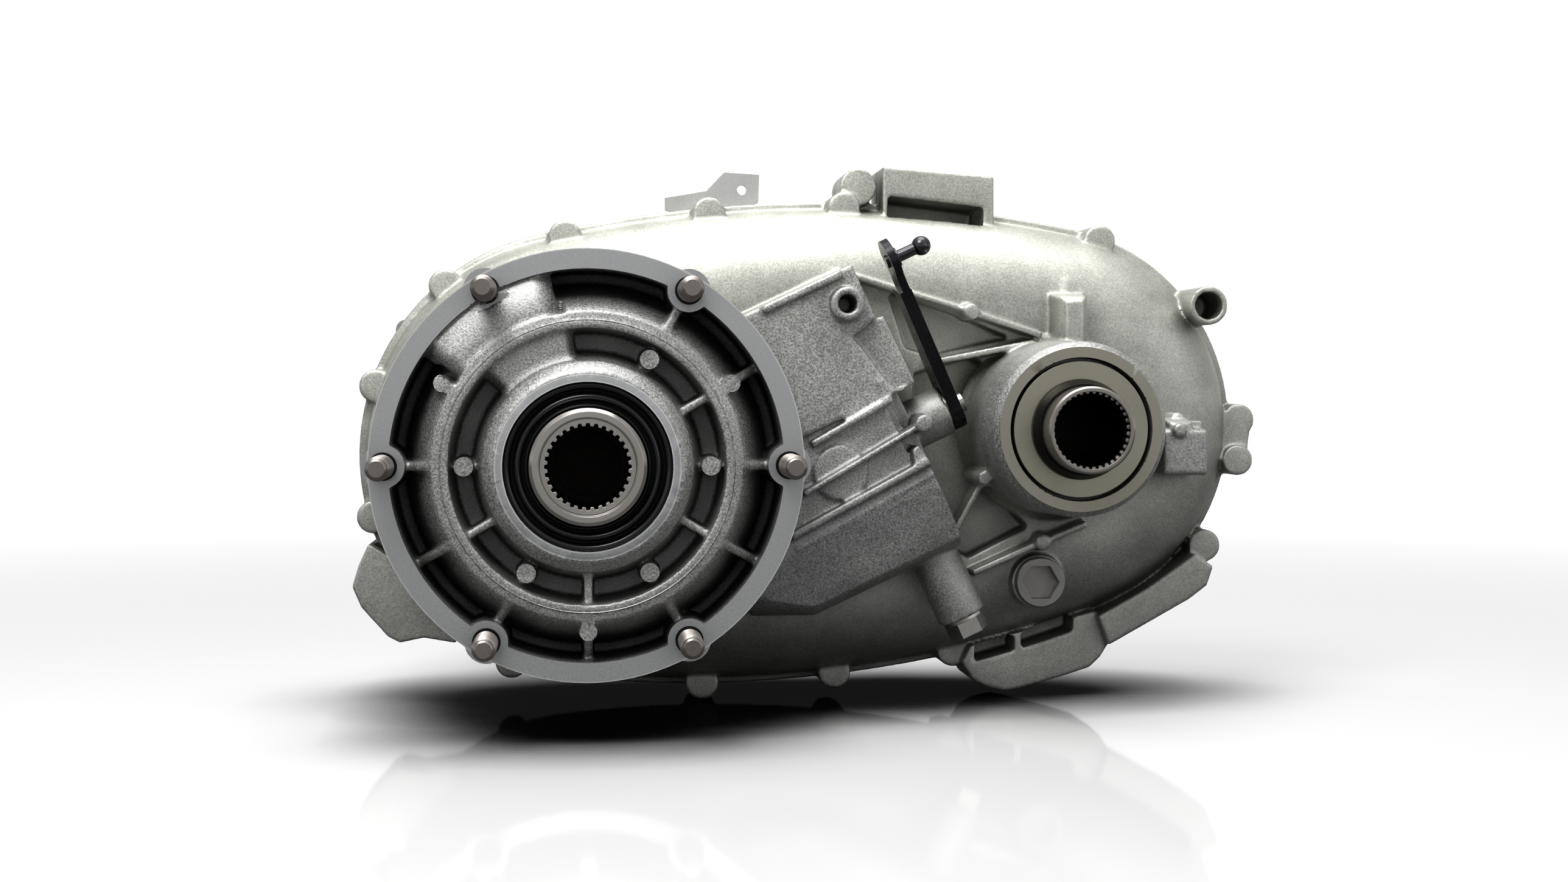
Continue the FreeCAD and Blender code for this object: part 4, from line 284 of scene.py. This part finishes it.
# Painted highlights on the edges of the milled ring and hub, and the line round the drum rib, as radii.
RIMS = ((0.0882, 0.0890), (0.0371, 0.0376), (0.0343, 0.0348))
DRUM_LINE = (0.0592, 0.0597)
MILLED_EDGE = 0.0001


def cast_grain(tree, depth):
    """Grain of the shot-blasted skin, weaker towards the dome."""
    fine = noise(tree, 1150.0, 2.0, 0.75)
    spread = product(tree, math_node(tree, "SUBTRACT", fine, 0.5), ramp(tree, depth, 0.060, 0.085, 1.0, 0.45))
    return total(tree, 0.5, spread)


def cast_tone(tree, grain, depth):
    """Colour of the skin: mottled and speckled, warmer on the dome."""
    mottle = noise(tree, 48.0, 4.0, 0.65)
    tone = mix_color(tree, ramp(tree, mottle, 0.3, 0.7), CAST_LIGHT, CAST_DARK)
    tone = mix_color(tree, ramp(tree, grain, 0.36, 0.66), tinted(tree, tone, GRAIN_DARK),
                     tinted(tree, tone, GRAIN_LIGHT))
    return mix_color(tree, ramp(tree, depth, 0.06, 0.10), tone, tinted(tree, tone, DOME_TINT))


def milled_faces(tree, depth):
    """Where the flange ring, the hub and the front output boss are machined."""
    front = faces_front(tree)
    ring = product(tree, band(tree, depth, RING_DEPTH - 0.0004, RING_DEPTH + 0.0004, MILLED_EDGE), front)
    hub = product(tree, ramp(tree, depth, HUB_DEPTH + 0.0003, HUB_DEPTH + 0.0005, 1.0, 0.0),
                  ramp(tree, radius_about(tree, INPUT_AXIS), HUB_FACE[1], HUB_FACE[1] + 0.0002, 1.0, 0.0))
    boss = product(tree, band(tree, depth, BOSS_DEPTH - 0.0006, BOSS_DEPTH + 0.0006, MILLED_EDGE), front)
    return ring, hub, boss


def milled_tone(tree, tone, ring, flat, boss):
    """Colour of the machined faces, with painted highlights on their edges and painted shade in the gaps
    round the studs.
    """
    cut_marks = noise(tree, 700.0, 2.0, 0.5, (1.0, 1.0, 3.5))
    milled = mix_color(tree, ramp(tree, cut_marks, 0.3, 0.7), MILLED_LIGHT, MILLED_DARK)
    tone = mix_color(tree, flat, tone, milled)
    tone = mix_color(tree, boss, tone, BOSS_TONE)
    # Painted shade in the gap round each stud.
    tone = mix_color(tree, product(tree, ring, stud_gap(tree)), tone, STUD_GAP_SHADE)
    reach = radius_about(tree, INPUT_AXIS)
    # Painted highlights on the edges of the milled ring and hub.
    rim_highlight = 0.0
    for low, high in RIMS:
        rim_highlight = larger(tree, rim_highlight, band(tree, reach, low, high, MILLED_EDGE))
    return mix_color(tree, product(tree, rim_highlight, flat), tone, RIM_HIGHLIGHT)


def painted_shade_tone(tree, tone, depth):
    """Painted light and shade: darker low and lighter high on the housings, darker in the bell's pockets and
    in narrow recesses.
    """
    height = split(tree, object_point(tree))[2]
    # Painted light: lighter high and darker low on the housings.
    painted_height_light = mix_color(tree, ramp(tree, height, -0.05, 0.095), PAINTED_SHADE_LOW, PAINTED_LIGHT_HIGH)
    tone = mix_color(tree, ramp(tree, depth, 0.045, 0.055), tone, tinted(tree, tone, painted_height_light))
    inside = ramp(tree, radius_about(tree, INPUT_AXIS), 0.0803, 0.0806, 1.0, 0.0)
    # Painted shade in the bell's pockets.
    pocket = product(tree, ramp(tree, depth, 0.006, 0.026), inside)
    pocket = product(tree, pocket, ramp(tree, depth, 0.036, 0.040, 1.0, 0.0))
    tone = mix_color(tree, pocket, tone, tinted(tree, tone, POCKET_SHADE))
    # Painted shade in narrow recesses, from ambient occlusion.
    return tinted(tree, tone, occlusion_shade(tree, 0.015, 0.42))


def casting(name, edge=None):
    """Shot-blasted die-cast aluminium: sparkling grain, milled faces, painted highlights on milled edges,
    painted shade in the recesses.
    """
    material, tree, shader = new_material(name, CAST_LIGHT, 0.85, 0.5)
    depth = split(tree, object_point(tree))[1]
    grain = cast_grain(tree, depth)
    ring, hub, boss = milled_faces(tree, depth)
    flat = larger(tree, ring, hub)
    machined = larger(tree, flat, boss)
    tone = milled_tone(tree, cast_tone(tree, grain, depth), ring, flat, boss)
    tree.links.new(painted_shade_tone(tree, tone, depth), shader.inputs["Base Color"])
    rough = ramp(tree, grain, 0.35, 0.65, 0.40, 0.62)
    gloss = math_node(tree, "SUBTRACT", rough, product(tree, machined, 0.12))
    tree.links.new(gloss, shader.inputs["Roughness"])
    line = product(tree, band(tree, radius_about(tree, INPUT_AXIS), *DRUM_LINE, 0.00015),
                   ramp(tree, depth, -0.004, -0.0045))
    height = total(tree, product(tree, grain, ramp(tree, machined, 0.0, 1.0, 1.0, 0.15)),
                   product(tree, line, 3.0))
    add_bump(tree, shader, height, 0.00022, 0.75, round_normal(tree, edge) if edge else None)
    return material


def dielectric(name, color, roughness, grain=1500.0, bump=0.00002, edge=0.0004, shine=0.5):
    """Rubber or plastic with a fine uneven gloss."""
    material, tree, shader = new_material(name, color, 0.0, roughness)
    shader.inputs["Specular IOR Level"].default_value = shine
    fine = noise(tree, grain)
    gloss = ramp(tree, fine, 0.3, 0.7, roughness - 0.07, roughness + 0.07)
    tree.links.new(gloss, shader.inputs["Roughness"])
    add_bump(tree, shader, fine, bump, 0.5, round_normal(tree, edge))
    return material


ROUNDED = 0.0012
DRAWN = (1.0, 9.0, 1.0)
# One finish for each material slot, then those of single nodes.
FINISHES = {
    "cast_alloy": casting("cast_alloy_surface", ROUNDED),
    "tail_alloy": casting("tail_alloy_surface", ROUNDED),
    "zinc_fastener": metal("zinc_fastener_surface", (0.50, 0.46, 0.42), (0.38, 0.35, 0.32), 0.36,
                           edge=0.0003),
    "dark_steel": metal("dark_steel_surface", (0.20, 0.195, 0.18), (0.13, 0.125, 0.12), 0.42),
    "machined_steel": metal("machined_steel_surface", (0.50, 0.48, 0.45), (0.42, 0.40, 0.37), 0.28,
                            stretch=DRAWN, edge=0.0003),
    "gear_steel": metal("gear_steel_surface", (0.36, 0.35, 0.34), (0.27, 0.26, 0.25), 0.35),
    "lever_steel": metal("lever_steel_surface", (0.036, 0.037, 0.040), (0.020, 0.021, 0.022), 0.30),
    "seal_rubber": dielectric("seal_rubber_surface", (0.006, 0.0062, 0.007), 0.22, bump=0.000006),
    "sensor_plastic": dielectric("sensor_plastic_surface", (0.012, 0.012, 0.013), 0.45),
    "bronze": metal("bronze_surface", (0.55, 0.37, 0.17), (0.45, 0.30, 0.14), 0.34),
    "magnet_black": dielectric("magnet_surface", (0.02, 0.02, 0.02), 0.6),
}
SPECIAL = {
    # The input shaft's ring is a painted shade line at its counterbore edge; both shafts get painted shade in
    # their bores.
    "input_gear": metal("input_shaft_surface", (0.52, 0.50, 0.47), (0.44, 0.42, 0.39), 0.30,
                        edge=0.0005, bump=0.000006, vary=0.02, rings=((INPUT_AXIS, 0.0193, 0.0197),),
                        bore=(INPUT_AXIS, 0.0178, -0.0085, 0.001)),
    "front_output_shaft": metal("output_shaft_surface", (0.40, 0.38, 0.35), (0.30, 0.28, 0.26), 0.30,
                                edge=0.0005, bump=0.000006, vary=0.02,
                                bore=(FRONT_AXIS, 0.0167, 0.0235, 0.030)),
    "core_plug": metal("core_plug_surface", (0.012, 0.010, 0.009), (0.007, 0.006, 0.005), 0.5),
    "dust_shield": metal("dust_shield_surface", (0.47, 0.455, 0.365), (0.38, 0.37, 0.295), 0.36,
                         vary=0.03),
    "shield_lip": dielectric("shield_lip_surface", (0.002, 0.002, 0.0022), 0.30, shine=0.2),
    "harness_bracket": metal("bracket_surface", (0.80, 0.80, 0.78), (0.68, 0.68, 0.66), 0.30),
    "fill_plug": metal("fill_plug_surface", (0.40, 0.39, 0.38), (0.27, 0.265, 0.26), 0.42, bump=0.00008),
    "detent_plug": metal("detent_plug_surface", (0.62, 0.61, 0.57), (0.50, 0.49, 0.46), 0.33),
    "ball_stud": metal("ball_stud_surface", (0.09, 0.09, 0.095), (0.05, 0.05, 0.055), 0.25),
}


def dress_nodes():
    """Gives every CAD node the finish of its material slot, or its own."""
    for entry in frame["record"]["subparts"]:
        thing = nodes[entry["node"]]
        thing.data.materials.clear()
        thing.data.materials.append(SPECIAL.get(entry["node"]) or FINISHES[entry["material_slot"]])


# ---------------------------------------------------------------- castings as they come from the die

def polar(radius, degrees, depth):
    """A point of the bell, its angle anticlockwise as seen from the front, in millimetres."""
    angle = math.radians(degrees)
    return Vector((radius * math.cos(angle), depth, radius * math.sin(angle))) / 1000.0


def add_loop_solid(form, loops):
    """A closed solid through like outlines, the first and last capped."""
    rows = [[form.verts.new(point) for point in loop] for loop in loops]
    for first, second in zip(rows, rows[1:]):
        join_loops(form, first, second)
    form.faces.new(list(reversed(rows[0])))
    form.faces.new(rows[-1])


def add_rib(form, degrees, outline, width):
    """A thin radial rib: its outline gives radius and depth."""
    side = polar(width / 2, degrees + 90, 0)
    loops = []
    for way in (-1, 1):
        loops.append([polar(radius, degrees, depth) + side * way for radius, depth in outline])
    add_loop_solid(form, loops)


def add_sector(form, start, end, outline):
    """An arc of the bell with one outline of radius and depth."""
    steps = max(2, int((end - start) / 2))
    loops = []
    for index in range(steps + 1):
        degrees = start + (end - start) * index / steps
        loops.append([polar(radius, degrees, depth) for radius, depth in outline])
    add_loop_solid(form, loops)


def join_loops(form, first, second):
    """Quads between two like closed loops of points."""
    count = len(first)
    for place in range(count):
        after = (place + 1) % count
        form.faces.new((first[place], first[after], second[after], second[place]))


def add_ring(form, outline, steps=144):
    """A full ring of the bell with one closed outline of radius and depth."""
    rows = []
    for index in range(steps):
        turn = 360.0 * index / steps
        rows.append([form.verts.new(polar(radius, turn, depth)) for radius, depth in outline])
    for index, row in enumerate(rows):
        join_loops(form, row, rows[(index + 1) % steps])


def add_box(form, left, right, low, high, front, draft):
    """A drafted block on the front housing, in millimetres."""
    loops = []
    for depth, spread in ((front, 0.0), (front + 4.0, draft / 2), (HOUSING_BACK, draft)):
        loops.append([Vector((x, depth, z)) / 1000.0 for x, z in (
            (left - spread, low - spread), (right + spread, low - spread),
            (right + spread, high + spread), (left - spread, high + spread))])
    add_loop_solid(form, loops)


def turned(form, profile, centre, steps=32):
    """A turned solid: its profile gives radius and depth from tip to root, in millimetres."""
    loops = []
    for radius, depth in profile:
        loop = []
        for index in range(steps):
            angle = 2 * math.pi * index / steps
            loop.append(centre + Vector((radius * math.cos(angle), depth, radius * math.sin(angle))) / 1000.0)
        loops.append(loop)
    add_loop_solid(form, loops)


def finished_mesh(form, name):
    """The form as a mesh with its faces outward."""
    bmesh.ops.recalc_face_normals(form, faces=form.faces)
    mesh = bpy.data.meshes.new(name)
    form.to_mesh(mesh)
    form.free()
    return mesh


def smooth_but(mesh, degrees):
    """Smooth shading with the edges above that angle left sharp."""
    mesh.polygons.foreach_set("use_smooth", [True] * len(mesh.polygons))
    mesh.set_sharp_from_angle(angle=math.radians(degrees))


# What the die adds to the bell's plain walls: angles in degrees, outlines of radius and depth in
# millimetres, and the width of the ribs.
OUTER_RIBS = (0, 30, 60, 180, 210, 240, 270, 300, 330)
OUTER_RIB = ((61.5, -4.4), (64.0, -4.4), (81.0, 10.0), (81.0, 31.0), (61.5, 31.0))
OUTER_RIB_WIDTH = 3.6
INNER_RIBS = (30, 210, 270, 330)
INNER_RIB = ((41.5, -2.6), (57.5, -3.4), (57.5, 15.0), (41.5, 15.0))
INNER_RIB_WIDTH = 3.4
DRAFTED_WALLS = (
    ((61.5, -3.4), (64.2, -3.4), (65.4, -1.0), (69.5, 9.0), (74.0, 24.0), (75.0, 31.0), (61.5, 31.0)),
    ((41.0, -3.0), (43.4, -3.0), (44.2, -1.0), (46.2, 9.0), (46.6, 15.0), (41.0, 15.0)),
    ((61.0, -3.4), (56.6, -3.4), (56.0, -1.0), (54.9, 9.0), (54.6, 15.0), (61.0, 15.0)),
)
PLATEAU_ENDS = (101, 146)
PLATEAU_EDGE = ((73.0, -3.6), (75.5, -3.4), (81.2, 4.0), (81.2, 14.0), (73.0, 14.0))
# Boxes beside and above the front output boss: left, right, low, high, front and draft.
HOUSING_BACK = 112.0
BOXES = (
    (259.0, 278.5, -7.0, 12.0, 70.0, 2.0),
    (261.5, 272.0, 8.0, 16.0, 71.0, 2.0),
    (217.5, 225.5, 46.0, 71.0, 86.5, 5.0),
)
# Round pads on the box and on the lower gusset: profile, and place in metres.
PADS = (
    (((3.0, 67.6), (3.3, HOUSING_BACK)), (0.2655, 0.0, 0.0125)),
    (((3.2, 76.5), (3.6, HOUSING_BACK)), (0.1783, 0.0, -0.0089)),
)


def bell_fillets():
    """What the die fills in on the front casting: rib tops, drafted walls, boxes and pads."""
    form = bmesh.new()
    for degrees in OUTER_RIBS:
        add_rib(form, degrees, OUTER_RIB, OUTER_RIB_WIDTH)
    for degrees in INNER_RIBS:
        add_rib(form, degrees, INNER_RIB, INNER_RIB_WIDTH)
    for outline in DRAFTED_WALLS:
        add_ring(form, outline)
    add_sector(form, *PLATEAU_ENDS, PLATEAU_EDGE)
    for sizes in BOXES:
        add_box(form, *sizes)
    for profile, place in PADS:
        turned(form, profile, Vector(place))
    return finished_mesh(form, "bell_fillets")


def applied(piece):
    """The piece's mesh with its modifiers taken in."""
    graph = bpy.context.evaluated_depsgraph_get()
    graph.update()
    mesh = bpy.data.meshes.new_from_object(piece.evaluated_get(graph), depsgraph=graph)
    piece.modifiers.clear()
    piece.data = mesh
    return mesh


TINY = 1e-9


def ring_edge(x, z):
    """How far a point lies outside the machined ring's outline, and the way out."""
    reach = math.hypot(x, z) or TINY
    way = (x / reach, z / reach)
    inner, outer = RING_FACE
    if reach - outer > inner - reach:
        best = (reach - outer, way)
    else:
        best = (inner - reach, (-way[0], -way[1]))
    for degrees in STUD_ANGLES:
        angle = math.radians(degrees)
        dx, dz = x - STUD_CIRCLE * math.cos(angle), z - STUD_CIRCLE * math.sin(angle)
        apart = math.hypot(dx, dz) or TINY
        if apart - EAR < best[0]:
            best = (apart - EAR, (dx / apart, dz / apart))
    return best


def disc_edge(centre, inner, outer):
    """The same for a flat ring, or for a disc where the inner radius is below zero."""
    def edge(x, z):
        dx, dz = x - centre[0], z - centre[1]
        reach = math.hypot(dx, dz) or TINY
        way = (dx / reach, dz / reach)
        if reach - outer > inner - reach:
            return reach - outer, way
        return inner - reach, (-way[0], -way[1])
    return edge


# Pads of the bell: their angles, pitch radius, own radius and depth.
OUTER_PADS = ((30, 150, 270), 0.0673, 0.0036, -0.005)
INNER_PADS = ((0, 60, 180, 240, 300), 0.0500, 0.0039, -0.004)


def pad_faces():
    """The flat ends of the small pads between the rings of the bell."""
    faces = []
    for angles, circle, radius, depth in (OUTER_PADS, INNER_PADS):
        for degrees in angles:
            angle = math.radians(degrees)
            centre = (circle * math.cos(angle), circle * math.sin(angle))
            faces.append((depth, disc_edge(centre, -1.0, radius)))
    return tuple(faces)


# How near a point of the remeshed skin lies to a milled face or its edge.
NEAR_EDGE = 0.0009
ON_EDGE = 0.0006
MILLED = (
    (RING_DEPTH, ring_edge),
    (HUB_DEPTH, disc_edge(INPUT_AXIS, *HUB_FACE)),
    (BOSS_DEPTH, disc_edge(FRONT_AXIS, *BOSS_FACE)),
) + pad_faces()


def near_milled(point):
    """The milled face that a point lies on, if any: its depth, how far out, and the way out."""
    for depth, edge in MILLED:
        if abs(point.y - depth) < 0.0016:
            outside, way = edge(point.x, point.z)
            if outside < NEAR_EDGE:
                return depth, outside, way
    return None


def sharpen(mesh):
    """Brings the points near a milled face back onto its plane and its outline."""
    for vertex in mesh.vertices:
        place = near_milled(vertex.co)
        if not place:
            continue
        depth, outside, way = place
        apart = abs(vertex.co.y - depth)
        if apart < ON_EDGE or outside < -NEAR_EDGE:
            if apart < NEAR_EDGE:
                vertex.co.y = depth
            if abs(outside) < ON_EDGE:
                vertex.co.x -= way[0] * outside
                vertex.co.z -= way[1] * outside


def ramp_between(value, start, end):
    return min(1.0, max(0.0, (value - start) / (end - start)))


def end_drop(degrees, first, last):
    """How far a plateau falls away towards either of its ends."""
    ends = max(ramp_between(degrees, *first), ramp_between(degrees, *last))
    return 0.010 * ends ** 2


# The plateau's two steps, as ranges of radius and of degrees, and the lower face of the shift
# housing, along and across its slope; metres.
OUTER_STEP, OUTER_SPAN = (0.0632, 0.0803), (99.0, 148.0)
INNER_STEP, INNER_SPAN = (0.0455, 0.0555), (94.0, 141.0)
HOUSING_SLOPE = math.radians(25.2)
LOWER_ALONG, LOWER_ACROSS = (0.0350, 0.1365), (-0.1085, -0.0755)


def within(value, limits):
    return limits[0] < value < limits[1]


def reshape(mesh):
    """Slopes of the die on the front casting: the plateau and the lower shift housing."""
    for vertex in mesh.vertices:
        x, y, z = vertex.co
        if y < 0.032:
            reach = math.hypot(x, z)
            degrees = math.degrees(math.atan2(z, x))
            if within(reach, OUTER_STEP) and within(degrees, OUTER_SPAN):
                rise = -0.0040 + 0.0062 * ramp_between(reach, *OUTER_STEP) ** 2
                vertex.co.y = max(y, rise + end_drop(degrees, (107.0, 99.5), (140.0, 147.5)))
            elif within(reach, INNER_STEP) and within(degrees, INNER_SPAN) and y < 0.012:
                vertex.co.y = max(y, -0.0035 + end_drop(degrees, (101.0, 95.0), (134.0, 140.0)))
        elif within(y, (0.0590, 0.1050)):
            along = x * math.cos(HOUSING_SLOPE) + z * math.sin(HOUSING_SLOPE)
            across = z * math.cos(HOUSING_SLOPE) - x * math.sin(HOUSING_SLOPE)
            if within(along, LOWER_ALONG) and within(across, LOWER_ACROSS):
                vertex.co.y = max(y, 0.0600 + 0.30 * (LOWER_ACROSS[1] - across))


# Voxel of the remesh in metres, rounds of smoothing, and the most triangles of one casting.
VOXEL = 0.00085
ROUNDS = 6
MOST_FACES = 190000


def softened(node, name, extra=None):
    """A casting with its inner corners filled and its edges rounded, its milled faces left sharp."""
    mesh = nodes[node].data.copy()
    if extra:
        form = bmesh.new()
        form.from_mesh(mesh)
        form.from_mesh(extra)
        form.to_mesh(mesh)
        form.free()
    piece = bpy.data.objects.new(name, mesh)
    bpy.context.collection.objects.link(piece)
    fill = piece.modifiers.new("fill", "REMESH")
    fill.mode = "VOXEL"
    fill.voxel_size = VOXEL
    mesh = applied(piece)
    if extra:
        reshape(mesh)
    cast = piece.vertex_groups.new(name="cast")
    cast.add([vertex.index for vertex in mesh.vertices if not near_milled(vertex.co)], 1.0, "REPLACE")
    ease = piece.modifiers.new("ease", "SMOOTH")
    ease.factor = 0.5
    ease.iterations = ROUNDS
    ease.vertex_group = "cast"
    mesh = applied(piece)
    sharpen(mesh)
    reduce = piece.modifiers.new("reduce", "DECIMATE")
    reduce.ratio = min(1.0, MOST_FACES / (2.0 * len(mesh.polygons)))
    mesh = applied(piece)
    smooth_but(mesh, 50)
    mesh.materials.clear()
    piece.vertex_groups.clear()
    return piece


def castings():
    surface = casting("die_cast_surface")
    for node, name, extra in (
        ("front_case", "front_casting", bell_fillets()),
        ("rear_case", "rear_casting", None),
    ):
        piece = softened(node, name, extra)
        piece.data.materials.append(surface)
        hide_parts(node)
        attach(piece, "case")


# ---------------------------------------------------------------- studs and input seal

def threaded(start, end, crest, root, pitch):
    """Profile points of a thread between two depths."""
    points = []
    depth = start
    while depth + pitch <= end:
        points += [(root, depth), (crest, depth + 0.38 * pitch), (crest, depth + 0.62 * pitch)]
        depth += pitch
    return points + [(root, depth)]


# Radius and depth in millimetres: the stud's tip, thread and shank, and the seal's rubber lips.
STUD_TIP = [(3.2, -28.0), (3.9, -27.5), (4.0, -24.2)]
STUD_SHANK = [(4.78, -2.0), (4.78, 18.8)]
STUD_PROFILE = STUD_TIP + threaded(-24.0, -3.0, 4.98, 4.30, 1.5) + STUD_SHANK
SEAL_OUTLINE = (
    (23.9, 3.0), (23.9, -8.0), (24.2, -9.6), (24.9, -10.2), (25.6, -9.6), (25.9, -8.2), (26.3, -7.6),
    (26.8, -8.2), (27.3, -9.6), (27.9, -10.3), (28.6, -10.4), (29.3, -9.9), (29.7, -8.6), (30.0, -6.4),
    (30.8, -5.8), (31.5, -6.4), (31.8, -8.8), (32.2, -9.5), (34.0, -9.5), (34.2, -9.1), (34.2, 3.0),
)


def small_piece(form, name, sharp, surface):
    """The form as a smooth-shaded object with its finish."""
    mesh = finished_mesh(form, name)
    smooth_but(mesh, sharp)
    piece = bpy.data.objects.new(name, mesh)
    bpy.context.collection.objects.link(piece)
    mesh.materials.append(surface)
    return piece


def studs():
    """The flange studs with their threads."""
    form = bmesh.new()
    for degrees in STUD_ANGLES:
        turned(form, STUD_PROFILE, polar(STUD_CIRCLE * 1000.0, degrees, 0))
    surface = metal("stud_surface", (0.33, 0.30, 0.28), (0.23, 0.21, 0.195), 0.34, edge=None)
    piece = small_piece(form, "threaded_studs", 35, surface)
    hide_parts("flange_studs")
    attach(piece, "case")


def seal():
    """The input seal with its rounded rubber lips."""
    form = bmesh.new()
    add_ring(form, SEAL_OUTLINE, 180)
    piece = small_piece(form, "seal_lips", 70, FINISHES["seal_rubber"])
    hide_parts("input_seal")
    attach(piece, "case")


# ---------------------------------------------------------------- floor, light and camera

# Levels of the studio's sky from straight down to straight up, as the object's gloss sees it, and
# how strongly the sky lights matte and glossy surfaces.
SKY = ((0.0, 0.85), (0.5, 1.0), (0.56, 0.85), (0.66, 0.40), (0.78, 0.50), (0.93, 1.0), (1.0, 1.0))
SKY_MATTE, SKY_GLOSS = 0.25, 0.9


def sky():
    """White to the eye; a pale band at the horizon and a bright zenith to the metal."""
    world = bpy.data.worlds.new("studio")
    world.use_nodes = True
    tree = world.node_tree
    plain = tree.nodes["Background"]
    plain.inputs["Color"].default_value = (1.0, 1.0, 1.0, 1.0)
    plain.inputs["Strength"].default_value = 1.0
    height = split(tree, tree.nodes.new("ShaderNodeTexCoord").outputs["Generated"])[2]
    stops = tree.nodes.new("ShaderNodeValToRGB")
    tree.links.new(ramp(tree, height, -1.0, 1.0), stops.inputs["Fac"])
    elements = stops.color_ramp.elements
    while len(elements) < len(SKY):
        elements.new(0.5)
    for element, (place, level) in zip(elements, SKY):
        element.position = place
        element.color = (level, level, level, 1.0)
    path = tree.nodes.new("ShaderNodeLightPath")
    shine = larger(tree, path.outputs["Is Glossy Ray"], path.outputs["Is Transmission Ray"])
    lit = tree.nodes.new("ShaderNodeBackground")
    tree.links.new(stops.outputs["Color"], lit.inputs["Color"])
    tree.links.new(ramp(tree, shine, 0.0, 1.0, SKY_MATTE, SKY_GLOSS), lit.inputs["Strength"])
    mix = tree.nodes.new("ShaderNodeMixShader")
    tree.links.new(path.outputs["Is Camera Ray"], mix.inputs[0])
    tree.links.new(lit.outputs[0], mix.inputs[1])
    tree.links.new(plain.outputs[0], mix.inputs[2])
    tree.links.new(mix.outputs[0], tree.nodes["World Output"].inputs["Surface"])
    bpy.context.scene.world = world


FLOOR_SIZE = 60.0
FLOOR_GAP = 0.0002
FLOOR_SEEN, FLOOR_BOUNCE = (1.15, 1.15, 1.15), (0.14, 0.14, 0.14)
FLOOR_IOR = 1.6
FLOOR_GLOSS = 0.06
# The floor's matte surface fades into the white backdrop between these distances.
FADE_START, FADE_END = 0.45, 1.3
FAR_BOUNCE = 0.22


def radius_flat(tree):
    """Distance over the floor from its middle."""
    parts = split(tree, object_point(tree))
    return length_of(tree, parts[0], parts[1])


def floor():
    """A white gloss floor that keeps the shadow, darkened near the part by a painted contact shadow, and
    mirrors the part faintly.
    """
    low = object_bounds()[0]
    bpy.ops.mesh.primitive_plane_add(size=FLOOR_SIZE, location=(0.1, 0.0, low[2] - FLOOR_GAP))
    thing = bpy.context.object
    thing.name = "floor"
    material, tree, shader = new_material("floor_surface", (0.9, 0.9, 0.9), 0.0, 0.1)
    tree.nodes.remove(shader)
    matte = tree.nodes.new("ShaderNodeBsdfDiffuse")
    seen = tree.nodes.new("ShaderNodeLightPath").outputs["Is Camera Ray"]
    # Painted contact shadow: ambient occlusion darkens the floor and its reflection near the part.
    contact_shadow = occlusion_shade(tree, 0.075, 0.02, 0.40, 0.97, 24)
    tree.links.new(mix_color(tree, seen, FLOOR_BOUNCE, tinted(tree, FLOOR_SEEN, contact_shadow)),
                   matte.inputs["Color"])
    gloss = tree.nodes.new("ShaderNodeBsdfGlossy")
    tree.links.new(contact_shadow, gloss.inputs["Color"])
    gloss.inputs["Roughness"].default_value = FLOOR_GLOSS
    fresnel = tree.nodes.new("ShaderNodeFresnel")
    fresnel.inputs["IOR"].default_value = FLOOR_IOR
    mix = tree.nodes.new("ShaderNodeMixShader")
    tree.links.new(product(tree, fresnel.outputs[0], seen), mix.inputs[0])
    tree.links.new(matte.outputs[0], mix.inputs[1])
    tree.links.new(gloss.outputs[0], mix.inputs[2])
    far = tree.nodes.new("ShaderNodeEmission")
    tree.links.new(ramp(tree, seen, 0.0, 1.0, FAR_BOUNCE, 1.0), far.inputs["Strength"])
    fade = tree.nodes.new("ShaderNodeMixShader")
    tree.links.new(ramp(tree, radius_flat(tree), FADE_START, FADE_END), fade.inputs[0])
    tree.links.new(mix.outputs[0], fade.inputs[1])
    tree.links.new(far.outputs[0], fade.inputs[2])
    tree.links.new(fade.outputs[0], tree.nodes["Material Output"].inputs["Surface"])
    thing.data.materials.append(material)
    thing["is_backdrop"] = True


# Name, place, size in metres, watts, and the point aimed at.
LAMPS = (
    ("key", (-0.35, -0.62, 1.05), 0.6, 10.5, (0.1, 0.05, 0.0)),
    ("top", (0.15, 0.12, 1.25), 0.9, 11.0, (0.1, 0.08, 0.0)),
    ("fill", (1.1, -0.8, 0.5), 0.9, 1.2, (0.1, 0.05, 0.0)),
)


def lights():
    for name, place, size, power, aim in LAMPS:
        light = bpy.data.lights.new(name, "AREA")
        light.size = size
        light.energy = power
        lamp = bpy.data.objects.new(name, light)
        lamp.location = place
        lamp.rotation_euler = (Vector(aim) - Vector(place)).to_track_quat("-Z", "Y").to_euler()
        bpy.context.collection.objects.link(lamp)


# The photograph's eye, worked out from its vanishing point and the flange.
EYE = (-0.00433, -0.889245, 0.033578)
YAW, PITCH = math.radians(5.427), math.radians(-1.513)


def camera():
    """The photograph's view: a little left of the front output, a touch above the input shaft."""
    lens = bpy.data.cameras.new("camera")
    lens.lens = 50.0
    lens.sensor_width = 36.0
    lens.clip_start = 0.01
    lens.clip_end = 200.0
    eye = bpy.data.objects.new("camera", lens)
    turn = Matrix.Rotation(-YAW, 4, "Z") @ Matrix.Rotation(math.radians(90) + PITCH, 4, "X")
    eye.matrix_world = Matrix.Translation(EYE) @ turn
    bpy.context.collection.objects.link(eye)
    bpy.context.scene.camera = eye


dress_nodes()
castings()
studs()
seal()
sky()
floor()
lights()
camera()
bpy.context.scene.view_settings.view_transform = "Standard"
